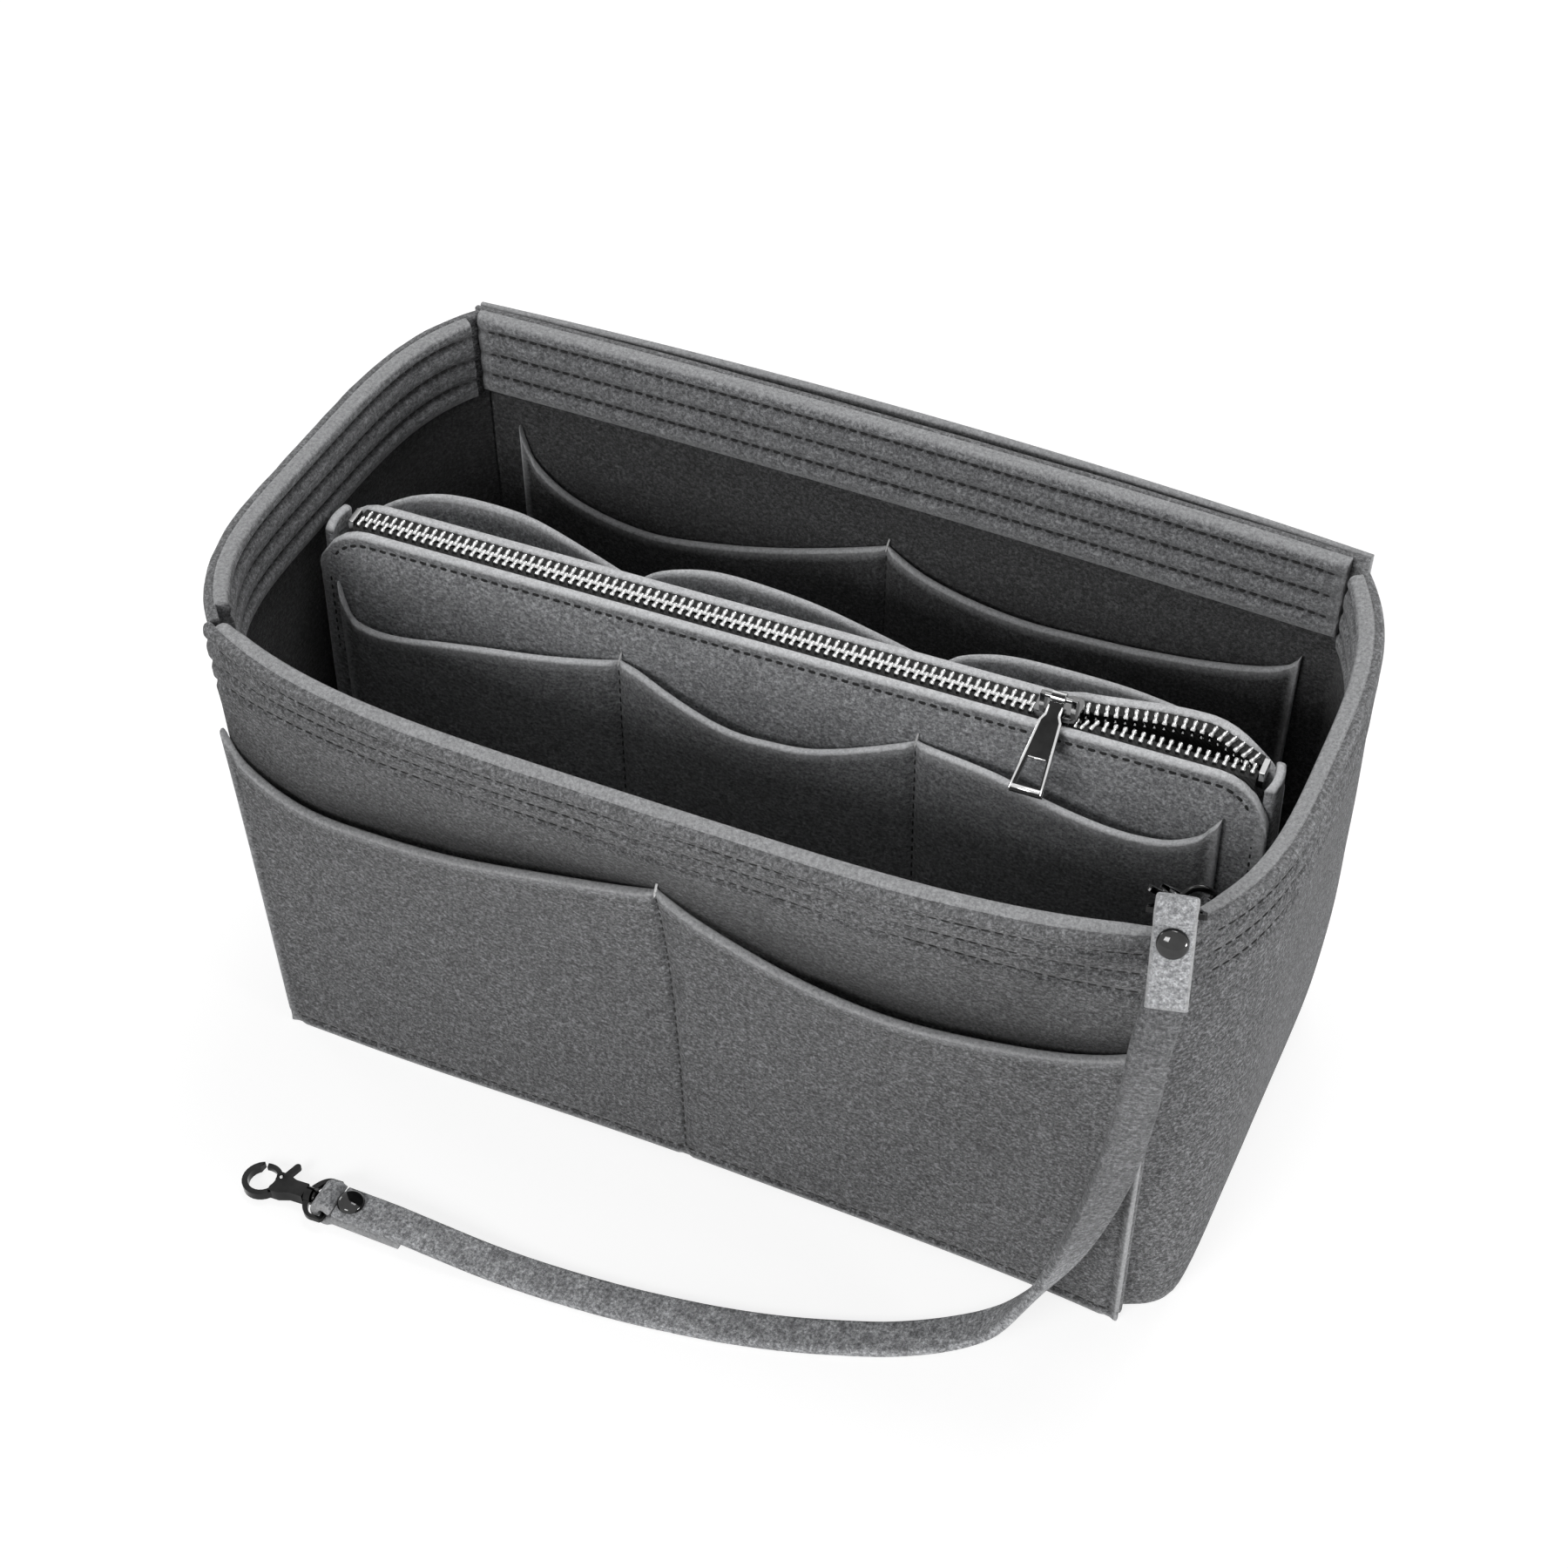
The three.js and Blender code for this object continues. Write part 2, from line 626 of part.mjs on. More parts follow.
// One row of the chain: a bead on the tape's edge with a tooth at each pitch, reaching past the middle line. The
// other row's teeth stand half a pitch on, so that the closed rows mesh.
function chainRow(side) {
  const outline = [];
  const point = (x, y) => outline.push([x, side * (y + rowPart(side, x))]);
  const first = chainLeft + toothPitch * (side > 0 ? 0.75 : 0.25);
  point(chainLeft, beadInner);
  for (let x = first; x + toothWidth < chainRight; x += toothPitch) {
    point(x, beadInner);
    point(x, -toothReach);
    point(x + toothWidth, -toothReach);
    point(x + toothWidth, beadInner);
  }
  point(chainRight, beadInner);
  for (let x = chainRight; x > sliderAt - sliderHalfLength; x -= 2 * toothPitch) point(x, chainHalfWidth);
  point(chainLeft, chainHalfWidth);
  return plate(outlineOf(outline), chainHeight).translate(0, 0, pouchHeight + chainRise - chainHeight / 2);
}

// A tape runs from the row's bead to the panel and down inside it.
function tape(side) {
  const level = pouchHeight + chainRise - chainHeight / 2 - tapeThick;
  const wall = pouchWall(side);
  const xs = pouchXs.filter((x) => x > chainLeft && x < chainRight);
  let outline;
  const sections = [chainLeft, ...xs, chainRight].map((x) => {
    const bead = chainHalfWidth + 1.5 * clearance + rowPart(side, x);
    const atBead = (z) => new Vector3(x, side * bead, z);
    const inside = (z, off) => standingOff(wall, x / pouchHalfLength, z, -felt - clearance - off).setZ(z);
    const points = [
      atBead(level + tapeThick),
      inside(level + tapeThick, 0),
      inside(level - tapeLeg, 0),
      inside(level - tapeLeg, tapeThick),
      inside(level, tapeThick),
      atBead(level),
    ];
    outline = points.map(({ y, z }) => new Vector2(y, z));
    return points;
  });
  return loft(sections, outline);
}

function addZip() {
  for (const [end, side] of [["front", -1], ["rear", 1]]) {
    place(pouch, "zip_teeth_" + end, chainRow(side), materials.silver);
    place(pouch, "zip_tape_" + end, tape(side), materials.tape);
  }
  const top = pouchHeight + chainRise;
  const stop = (x) =>
    boxBetween(x, x + stopLength, -chainHalfWidth, chainHalfWidth, top - chainHeight, top);
  place(pouch, "zip_left_stop", stop(chainLeft - clearance - stopLength), materials.silver);
  place(pouch, "zip_right_stop", stop(chainRight + clearance), materials.silver);
}

// The slider's two blades stand over and under the rows, with a wall outside each row and the wedge between them
// at its mouth. The tapes leave through the slots between the walls.
function addSlider() {
  const slider = new THREE.Group();
  slider.position.set(sliderAt, 0, pouchHeight + chainRise - chainHeight / 2);
  pouch.add(slider);
  const half = chainHeight / 2 + clearance;
  const blade = new THREE.Shape();
  blade.moveTo(-sliderHalfLength, -sliderTailHalf * 0.8);
  blade.quadraticCurveTo(-sliderHalfLength, -sliderTailHalf, -sliderHalfLength * 0.7, -sliderTailHalf);
  blade.quadraticCurveTo(0, -sliderWaistHalf * 0.92, sliderHalfLength * 0.45, -sliderMouthHalf);
  blade.quadraticCurveTo(sliderHalfLength * 0.95, -sliderMouthHalf, sliderHalfLength, -sliderMouthHalf * 0.6);
  blade.lineTo(sliderHalfLength, sliderMouthHalf * 0.6);
  blade.quadraticCurveTo(sliderHalfLength * 0.95, sliderMouthHalf, sliderHalfLength * 0.45, sliderMouthHalf);
  blade.quadraticCurveTo(0, sliderWaistHalf * 0.92, -sliderHalfLength * 0.7, sliderTailHalf);
  blade.quadraticCurveTo(-sliderHalfLength, sliderTailHalf, -sliderHalfLength, sliderTailHalf * 0.8);
  const pieces = [1, -1].map((way) => plate(blade, sliderPlate).translate(0, 0, way * (half + sliderPlate / 2)));
  const wallHeight = half - tapeThick - clearance + sliderPlate / 2;
  for (const way of [1, -1]) {
    for (const side of [1, -1]) {
      const wall = outlineOf([
        [-sliderHalfLength * 0.85, side * (chainHalfWidth + clearance)],
        [sliderWallEnd, side * (sliderMouthHalf - sliderWall)],
        [sliderWallEnd, side * sliderMouthHalf],
        [-sliderHalfLength * 0.85, side * (chainHalfWidth + clearance + sliderWall)],
      ]);
      const rise = way * (half + sliderPlate / 2 - wallHeight / 2);
      pieces.push(plate(wall, wallHeight).translate(0, 0, rise));
    }
  }
  const wedge = outlineOf([
    [sliderHalfLength - clearance, 0],
    [sliderHalfLength - wedgeLength / 3, wedgeHalfWidth],
    [sliderHalfLength - wedgeLength, 0],
    [sliderHalfLength - wedgeLength / 3, -wedgeHalfWidth],
  ]);
  pieces.push(plate(wedge, 2 * half + sliderPlate));
  place(slider, "slider_body", joined(...pieces), materials.blackNickel);

  const top = half + sliderPlate;
  const axis = new Vector3(0, -crownForward, top + crownHeight);
  const posts = [-1, 1].map((side) => {
    const shape = outlineOf([
      [-crownBar - crownForward, crownHeight + crownBar],
      [-crownBar - crownForward, crownHeight - crownBar],
      [-sliderWaistHalf / 2, 0],
      [sliderWaistHalf / 2, 0],
      [crownBar - crownForward, crownHeight + crownBar],
    ]);
    const x = side * (crownHalfLength - crownPost / 2);
    return plate(shape, crownPost).applyMatrix4(
      new THREE.Matrix4().makeBasis(new Vector3(0, 1, 0), new Vector3(0, 0, 1), new Vector3(1, 0, 0)),
    ).translate(x, 0, top);
  });
  const barHalf = crownHalfLength - crownPost / 2;
  const bar = rodAlongX(crownBar, -barHalf, barHalf);
  place(slider, "slider_crown", joined(...posts, bar.translate(0, axis.y, axis.z)), materials.blackNickel);

  const pull = new THREE.Group();
  pull.position.copy(axis);
  slider.add(pull);
  place(pull, "zip_pull", pullPlate(), materials.blackNickel);
}

// The pull, in a frame with its hinge line along X: its knuckle goes round the crown's bar, and its flared plate with
// a window hangs over the pouch's front edge.
function pullPlate() {
  const lowest = -pullLength;
  const windowFoot = lowest + pullBar;
  const edgeAt = (y) => lerp(pullShoulderHalf, pullFootHalf, (-y - pullShoulder) / (pullLength - pullShoulder));
  const shape = outlineOf([
    [-pullNeckHalf, 0],
    [-pullNeckHalf, -pullNeckLength],
    [-pullShoulderHalf, -pullShoulder],
    [-pullFootHalf, lowest],
    [pullFootHalf, lowest],
    [pullShoulderHalf, -pullShoulder],
    [pullNeckHalf, -pullNeckLength],
    [pullNeckHalf, 0],
  ]);
  const windowTop = -pullWindowTop;
  shape.holes.push(
    new THREE.Path([
      new Vector2(-edgeAt(windowTop) + pullWindowRim, windowTop),
      new Vector2(-edgeAt(windowFoot) + pullWindowRim, windowFoot),
      new Vector2(edgeAt(windowFoot) - pullWindowRim, windowFoot),
      new Vector2(edgeAt(windowTop) - pullWindowRim, windowTop),
    ]),
  );
  const knuckle = rodAlongX(knuckleRadius, -knuckleHalf, knuckleHalf);
  const bore = rodAlongX(knuckleBore, -knuckleHalf - overrun, knuckleHalf + overrun);
  const flat = cut(joined(plate(shape, pullThick), knuckle), bore);
  return flat.rotateX(pullLean);
}

// Trigger clasp
function bailPlate() {
  const front = -bailBarBack;
  const shape = new THREE.Shape();
  shape.moveTo(front, -bailHalfWidth + bailWire / 2);
  shape.lineTo(front + bailWire / 2, -bailHalfWidth);
  shape.lineTo(bailSlotEnd / 2, -bailHalfWidth);
  shape.quadraticCurveTo(bailSlotEnd, -bailHalfWidth, bailEnd, -bailNeckHalf);
  shape.lineTo(bailEnd, bailNeckHalf);
  shape.quadraticCurveTo(bailSlotEnd, bailHalfWidth, bailSlotEnd / 2, bailHalfWidth);
  shape.lineTo(front + bailWire / 2, bailHalfWidth);
  shape.lineTo(front, bailHalfWidth - bailWire / 2);
  const slot = new THREE.Path();
  slot.moveTo(bailWire / 2, -bailSlotHalf);
  slot.lineTo(bailSlotEnd / 2, -bailSlotHalf);
  slot.quadraticCurveTo(bailSlotEnd * 0.8, -bailSlotHalf, bailSlotEnd, -swivelBoss);
  slot.lineTo(bailSlotEnd, swivelBoss);
  slot.quadraticCurveTo(bailSlotEnd * 0.8, bailSlotHalf, bailSlotEnd / 2, bailSlotHalf);
  slot.lineTo(bailWire / 2, bailSlotHalf);
  shape.holes.push(slot);
  const boss = rodAlongX(swivelBoss, bailSlotEnd, bailEnd);
  const bore = rodAlongX(swivelBore, bailSlotEnd - overrun, bailEnd + overrun);
  return cut(joined(plate(shape, bailWire), boss), bore);
}

function hookBody() {
  const start = bailEnd + clearance;
  const cheeks = outlineOf([
    [start, -hookNeckHalf],
    [start, hookNeckHalf],
    [lerp(start, hookCheekEnd, 0.4), hookNeckHalf],
    [lerp(start, hookCheekEnd, 0.7), hookCheekHalf],
    [hookCheekEnd, hookCheekHalf],
    [hookCheekEnd, -hookCheekHalf],
    [lerp(start, hookCheekEnd, 0.7), -hookCheekHalf],
    [lerp(start, hookCheekEnd, 0.4), -hookNeckHalf],
  ]);
  const reach = hookRadius + overrun;
  const gate = outlineOf([
    [hookCentre, 0],
    [hookCentre + hookBore * Math.cos(gateRelief), hookBore * Math.sin(gateRelief)],
    [hookCentre + reach * Math.cos(gateFrom), reach * Math.sin(gateFrom)],
    [hookCentre + 1.6 * reach * Math.cos((gateFrom + gateTo) / 2), 1.6 * reach * Math.sin((gateFrom + gateTo) / 2)],
    [hookCentre + reach * Math.cos(gateTo), reach * Math.sin(gateTo)],
  ]);
  const bore = disc(hookBore, hookThick + overrun, 24).translate(hookCentre, 0, 0);
  const ring = cut(disc(hookRadius, hookRingThick, 28).translate(hookCentre, 0, 0), plate(gate, hookThick));
  const slot = boxBetween(
    gateSlotFrom,
    hookCentre,
    gateSlotFloor,
    hookRadius + overrun,
    -gateSlot / 2,
    gateSlot / 2,
  );
  const pinHole = disc(pinBore, hookThick + overrun, 12).translate(leverPivot.x, leverPivot.y, 0);
  const stem = rodAlongX(swivelStem, bailSlotEnd - clearance - swivelHeadThick, start + overrun);
  const head = rodAlongX(swivelHead, bailSlotEnd - clearance - swivelHeadThick, bailSlotEnd - clearance);
  return joined(cut(joined(plate(cheeks, hookThick), ring), bore, slot, pinHole), stem, head);
}

function leverPlate() {
  const inner = (hookRadius + hookBore - leverWire) / 2;
  const outer = inner + leverWire;
  const end = gateFrom + clearance / hookBore;
  const arc = new THREE.Shape();
  arc.absarc(hookCentre, 0, outer, end, gateTo, false);
  arc.absarc(hookCentre, 0, inner, gateTo, end, true);
  const boss = disc(leverBoss, leverThick, 16).translate(leverPivot.x, leverPivot.y, 0);
  const way = thumbReach.clone().normalize();
  const side = new Vector2(-way.y, way.x).multiplyScalar(thumbHalf);
  const tip = leverPivot.clone().add(thumbReach);
  const thumb = outlineOf(
    [leverPivot.clone().add(side), leverPivot.clone().sub(side), tip.clone().sub(side), tip.clone().add(side)].map(
      ({ x, y }) => [x, y],
    ),
  );
  const thumbEnd = disc(thumbHalf, leverThick, 12).translate(tip.x, tip.y, 0);
  const pinHole = disc(pinBore, leverThick + overrun, 12).translate(leverPivot.x, leverPivot.y, 0);
  return cut(joined(plate(arc, leverThick), boss, plate(thumb, leverThick), thumbEnd), pinHole);
}

// along points from the strap's bar to the hook's tip, and bar lies along the strap's width.
function addClasp(name, at, along, bar, hookTurn) {
  const up = new Vector3().crossVectors(along, bar).normalize();
  const across = new Vector3().crossVectors(up, along);
  const clasp = new THREE.Group();
  clasp.position.copy(at);
  clasp.setRotationFromMatrix(new THREE.Matrix4().makeBasis(along, across, up));
  organizer.add(clasp);
  place(clasp, name + "_clasp_bail", bailPlate(), materials.blackNickel);
  const hook = new THREE.Group();
  hook.rotation.x = hookTurn;
  clasp.add(hook);
  place(hook, name + "_clasp_hook", hookBody(), materials.blackNickel);
  place(hook, name + "_clasp_lever", leverPlate(), materials.blackNickel);
  const pin = disc(pinRadius, hookThick, 12).translate(leverPivot.x, leverPivot.y, 0);
  place(hook, name + "_clasp_pin", pin, materials.silver);
  return hook;
}

// A flat band through stations, each with its middle and the way that its width lies
function ribbon(stations, width, thick) {
  const outline = [[-1, -1], [1, -1], [1, 1], [-1, 1]].map(([x, y]) => new Vector2((x * width) / 2, (y * thick) / 2));
  const sections = stations.map(({ at, across }, i) => {
    const before = stations[Math.max(0, i - 1)].at;
    const after = stations[Math.min(stations.length - 1, i + 1)].at;
    const along = after.clone().sub(before).normalize();
    const wide = across.clone().addScaledVector(along, -along.dot(across)).normalize();
    const face = new Vector3().crossVectors(along, wide);
    return outline.map(({ x, y }) => at.clone().addScaledVector(wide, x).addScaledVector(face, y));
  });
  return loft(sections, outline);
}

// The strap's end folded round a clasp's bar: the tail on one side, the strap's own end on the other
const foldClear = (strapFelt + clearance) / 2;
const capClear = rivetFromBar - rivetCapRadius - clearance;

function foldStations(bar, back, tailSide, across) {
  const at = (down, off) => bar.clone().addScaledVector(back, down).addScaledVector(tailSide, off);
  const points = [foldTail, (foldTail + rivetFromBar) / 2, rivetFromBar, capClear].map((down) => at(down, foldClear));
  for (const share of evenShares(8)) {
    const angle = share * Math.PI;
    points.push(at(-foldRadius * Math.sin(angle), foldRadius * Math.cos(angle)));
  }
  points.push(at(capClear - clearance, -foldClear), at(capClear, -foldClear));
  return points.map((point) => ({ at: point, across }));
}

function rivet(group, name, at, out, gapBetweenCaps) {
  const turned = new THREE.Group();
  turned.position.copy(at);
  turned.quaternion.setFromUnitVectors(new Vector3(0, 0, 1), out);
  group.add(turned);
  const half = gapBetweenCaps / 2;
  const dome = [[0, 0], [rivetCapRadius, 0], [rivetCapRadius, 0.25], [0.8 * rivetCapRadius, 0.72]];
  const profile = [...dome, [0.45 * rivetCapRadius, 0.93], [0, 1]].map(
    ([x, y], i) => new Vector2(x, half + y * rivetCapHeight),
  );
  const lathe = (points) => new THREE.LatheGeometry(points, round).rotateX(Math.PI / 2);
  place(turned, name + "_rivet_cap", lathe(profile), materials.blackNickel);
  const post = [
    [0, -half - rivetBackThick],
    [rivetBackRadius, -half - rivetBackThick],
    [rivetBackRadius, -half],
    [rivetPostRadius, -half],
    [rivetPostRadius, half - clearance / 2],
    [0, half - clearance / 2],
  ].map(([x, y]) => new Vector2(x, y));
  place(turned, name + "_rivet_post", lathe(post), materials.blackNickel);
  const hole = new THREE.CylinderGeometry(
    rivetPostRadius + clearance,
    rivetPostRadius + clearance,
    gapBetweenCaps + 2 * overrun,
    round,
  );
  hole.rotateX(Math.PI / 2);
  turned.updateMatrix();
  return hole.applyMatrix4(turned.matrix);
}

function addLeash() {
  const stack = 2 * strapFelt + 3 * clearance;
  const near = (bar, back, side, distance) =>
    bar.clone().addScaledVector(back, distance).addScaledVector(side, -foldClear);
  const folded = (name, bar, back, tailSide, across, out) => {
    const hole = rivet(organizer, name, bar.clone().addScaledVector(back, rivetFromBar), out, stack);
    const fold = ribbon(foldStations(bar, back, tailSide, across), strapWidth, strapFelt);
    place(organizer, "strap_" + name + "_fold", cut(fold, hole), materials.felt);
    return hole;
  };
  const barAcross = new Vector3(Math.cos(upperBarTurn), Math.sin(upperBarTurn), 0);
  const upperBack = upperTabUp.clone().negate();
  const upperFront = new Vector3().crossVectors(barAcross, upperTabUp).normalize();
  const upperHole = folded("upper", upperBar, upperBack, upperFront, barAcross, upperFront);

  const farBack = farStrapAlong.clone().negate();
  const down = new Vector3(0, 0, -1);
  const farAcross = new Vector3().crossVectors(farStrapAlong, down).normalize();
  const farHole = folded("far", farBar, farBack, down, farAcross, new Vector3(0, 0, 1));

  const own = [capClear + 2 * clearance, rivetFromBar, rivetFromBar + rivetCapRadius, foldTail * 0.8];
  const first = own.map((distance) => near(upperBar, upperBack, upperFront, distance));
  const last = own.toReversed().map((distance) => near(farBar, farBack, down, distance));
  const turns = [
    ...first.map(() => strapRoute[0][3]),
    ...strapRoute.map((station) => station[3]),
    ...last.map(() => strapRoute.at(-1)[3]),
  ].map(degToRad);
  const points = [...first, ...strapRoute.map(([x, y, z]) => new Vector3(x, y, strapHeight(z))), ...last];
  const curve = new THREE.CatmullRomCurve3(points, false, "centripetal");
  const steps = 2 * (points.length - 1);
  const stations = Array.from({ length: steps + 1 }, (_, i) => {
    const along = (i / steps) * (points.length - 1);
    const from = Math.min(Math.floor(along), points.length - 2);
    const turn = lerp(turns[from], turns[from + 1], along - from);
    return { at: curve.getPoint(i / steps), across: new Vector3(Math.cos(turn), Math.sin(turn), 0) };
  });
  place(organizer, "key_strap", cut(ribbon(stations, strapWidth, strapFelt), upperHole, farHole), materials.felt);

  const hook = addClasp("upper", upperBar, upperClaspAlong, barAcross, upperHookTurn);
  addClasp("far", farBar, farClaspAlong, farAcross, farHookTurn);
  addCornerRing(hook);
}

// The D-ring's bow passes through the upper clasp's hook. Its straight side lies along the right wall, square to the
// hook's reach, and a felt loop holds it there.
function addCornerRing(hook) {
  organizer.updateMatrixWorld(true);
  const apex = hook.localToWorld(new Vector3(hookCentre + ringSlack, 0, 0));
  const along = new Vector3(1, 0, 0).transformDirection(hook.matrixWorld);
  const wall = new Vector3(Math.cos(ringWallTurn), Math.sin(ringWallTurn), 0);
  const barWay = new Vector3(0, 0, along.dot(wall)).addScaledVector(wall, -along.z).normalize();
  const toBar = ringBar.clone().sub(apex);
  const deep = toBar.clone().addScaledVector(barWay, -toBar.dot(barWay));
  const depth = deep.length();
  deep.normalize();
  const outline = evenShares(ringSides).slice(1).map((share) => {
    const angle = share * 2 * Math.PI;
    return new Vector2(ringWire * Math.cos(angle), ringWire * Math.sin(angle));
  });
  const middle = evenShares(12).map((share) => {
    const angle = share * Math.PI;
    return [ringRadius * Math.cos(angle), ringRadius * (1 - Math.sin(angle))];
  });
  middle.push([-ringRadius, depth], [ringRadius, depth]);
  const centre = middle.map(([a, b]) => apex.clone().addScaledVector(barWay, a).addScaledVector(deep, b));
  const normal = new Vector3().crossVectors(barWay, deep);
  const sections = centre.map((at, i) => {
    const before = centre[(i + centre.length - 1) % centre.length];
    const after = centre[(i + 1) % centre.length];
    const along = after.clone().sub(at).normalize().add(at.clone().sub(before).normalize()).normalize();
    const out = new Vector3().crossVectors(along, normal);
    return outline.map(({ x, y }) => at.clone().addScaledVector(out, x).addScaledVector(normal, y));
  });
  const count = outline.length;
  const faces = [];
  for (let i = 0; i < sections.length; i++) {
    for (let j = 0; j < count; j++) {
      const [a, b] = [i * count + j, i * count + ((j + 1) % count)];
      const next = ((i + 1) % sections.length) * count;
      const [c, d] = [next + j, next + ((j + 1) % count)];
      faces.push(a, c, d, a, d, b);
    }
  }
  place(organizer, "d_ring", closedGeometry(sections.flat(), faces), materials.blackNickel);

  const bar = apex.clone().addScaledVector(deep, depth);
  const sideways = new Vector3().crossVectors(wall, new Vector3(0, 0, 1)).normalize();
  const away = new Vector3().crossVectors(barWay, sideways);
  const bend = ringWire + clearance + loopFelt / 2;
  const at = (downward, off) => bar.clone().addScaledVector(away, downward).addScaledVector(sideways, off);
  const points = [at(loopLength, bend)];
  for (const share of evenShares(6)) {
    const angle = share * Math.PI;
    points.push(at(-bend * Math.sin(angle), bend * Math.cos(angle)));
  }
  points.push(at(loopLength, -bend));
  const stations = points.map((point) => ({ at: point, across: barWay }));
  place(organizer, "d_ring_loop", ribbon(stations, loopWidth, loopFelt), materials.felt);
}

addBodyPanels();
addBase();
addFacings();
addBodyPockets();
addPouchPanels();
addPouchGusset();
addPouchPockets();
addZip();
addSlider();
addLeash();

export default organizer;
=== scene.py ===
import math

import bmesh
import bpy
import numpy as np
from mathutils import Matrix, Vector


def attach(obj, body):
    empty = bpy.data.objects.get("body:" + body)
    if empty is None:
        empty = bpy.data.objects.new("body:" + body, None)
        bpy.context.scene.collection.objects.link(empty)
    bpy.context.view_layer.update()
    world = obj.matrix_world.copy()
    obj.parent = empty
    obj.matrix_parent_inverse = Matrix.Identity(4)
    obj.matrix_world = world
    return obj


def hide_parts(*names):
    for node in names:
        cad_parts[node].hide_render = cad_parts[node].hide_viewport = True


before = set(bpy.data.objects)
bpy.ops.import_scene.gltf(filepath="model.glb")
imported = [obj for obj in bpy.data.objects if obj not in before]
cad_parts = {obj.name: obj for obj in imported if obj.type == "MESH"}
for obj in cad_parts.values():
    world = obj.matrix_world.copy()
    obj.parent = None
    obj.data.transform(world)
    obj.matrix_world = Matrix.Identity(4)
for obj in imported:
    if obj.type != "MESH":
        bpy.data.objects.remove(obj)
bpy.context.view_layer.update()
MM = 0.001


def placed(name, data):
    """A new object in the scene."""
    made = bpy.data.objects.new(name, data)
    bpy.context.scene.collection.objects.link(made)
    return made


# ---- camera
PICTURE, SENSOR = 1800, 36  # the photograph's side in pixels, the sensor's in millimetres
FOCAL, SHIFT_X, SHIFT_Y = 3745, 21, 8  # pixels
SCALE = 158 / 150  # the body's height over the height that the camera was fitted with
TARGET, DISTANCE = np.array([-8.1 * SCALE, 0.3 * SCALE, 79.0]), 869
AZ, EL, ROLL = math.radians(25.74), math.radians(45.55), math.radians(-0.94)
back = np.array([math.sin(AZ) * math.cos(EL), -math.cos(AZ) * math.cos(EL), math.sin(EL)])
flat_right = np.array([math.cos(AZ), math.sin(AZ), 0])
flat_up = np.cross(back, flat_right)
right = math.cos(ROLL) * flat_right + math.sin(ROLL) * flat_up
up = -math.sin(ROLL) * flat_right + math.cos(ROLL) * flat_up
place = TARGET + back * DISTANCE * SCALE
camera_data = bpy.data.cameras.new("camera")
camera = placed("camera", camera_data)
camera_data.sensor_width = SENSOR
camera_data.lens = FOCAL / PICTURE * SENSOR
camera_data.shift_x, camera_data.shift_y = SHIFT_X / PICTURE, SHIFT_Y / PICTURE
camera_data.clip_start, camera_data.clip_end = 0.05, 50
camera.matrix_world = Matrix([[right[i], up[i], back[i], place[i] * MM] for i in range(3)] + [[0, 0, 0, 1]])
bpy.context.scene.camera = camera


# ---- materials
def put(node, **values):
    """Sets a node's inputs, with _ for a space in their names."""
    for socket, value in values.items():
        node.inputs[socket.replace("_", " ")].default_value = value


class Nodes:
    """A material's node tree with short calls. look goes to the shader's inputs."""

    def __init__(self, name, **look):
        self.material = bpy.data.materials.new(name)
        self.material.use_nodes = True
        self.tree = self.material.node_tree
        self.tree.nodes.clear()
        self.output = self.add("ShaderNodeOutputMaterial")
        self.shader = self.add("ShaderNodeBsdfPrincipled")
        self.link(self.shader, 0, self.output, "Surface")
        self.coordinates = self.add("ShaderNodeTexCoord")
        put(self.shader, **look)

    def add(self, kind, **values):
        node = self.tree.nodes.new(kind)
        for key, value in values.items():
            setattr(node, key, value)
        return node

    def link(self, source, out, target, into):
        self.tree.links.new(source.outputs[out], target.inputs[into])

    def noise(self, scale, detail=4, roughness=0.6, stretch=None):
        node = self.add("ShaderNodeTexNoise")
        put(node, Scale=scale, Detail=detail, Roughness=roughness)
        source = self.coordinates
        if stretch:
            mapping = self.add("ShaderNodeMapping")
            put(mapping, Scale=stretch, Rotation=(0.4, 0.9, 0.5))
            self.link(source, "Object", mapping, "Vector")
            self.link(mapping, 0, node, "Vector")
        else:
            self.link(source, "Object", node, "Vector")
        return node

    def ramp(self, source, out, stops):
        node = self.add("ShaderNodeValToRGB")
        while len(node.color_ramp.elements) < len(stops):
            node.color_ramp.elements.new(0.5)
        for element, (at, value) in zip(node.color_ramp.elements, stops):
            element.position = at
            element.color = (*value, 1) if isinstance(value, tuple) else (value, value, value, 1)
        self.link(source, out, node, "Fac")
        return node

    def mix(self, kind, fac, a, b):
        """a and b are (node, output), fac is that or a number."""
        node = self.add("ShaderNodeMix", data_type="RGBA", blend_type=kind)
        if isinstance(fac, tuple):
            self.link(*fac, node, 0)
        else:
            node.inputs[0].default_value = fac
        self.link(*a, node, 6)
        self.link(*b, node, 7)
        return node

    def bump(self, height, out, strength, distance, before=None):
        node = self.add("ShaderNodeBump")
        put(node, Strength=strength, Distance=distance)
        self.link(height, out, node, "Height")
        if before:
            self.link(before, "Normal", node, "Normal")
        return node

    def done(self, colour, out, bump):
        """The material, with its colour and its bump linked."""
        self.link(colour, out, self.shader, "Base Color")
        self.link(bump, "Normal", self.shader, "Normal")
        return self.material


def grey(value, tint=0.0):
    """A linear colour from an sRGB level of 0 to 255, a little bluer where tint is over 0."""
    x = value / 255
    linear = x / 12.92 if x <= 0.04045 else ((x + 0.055) / 1.055) ** 2.4
    return (linear * (1 - 0.4 * tint), linear, linear * (1 + tint))


# Noise scales, per metre of the surface, and what a full painted shade leaves of the colour
FINE, FIBRE, CLOUD, BROAD, TWIST, WEAVE, SMUDGE, SCRATCH = 1050, 620, 230, 14, 2600, 420, 160, 700
SHADED = 0.3


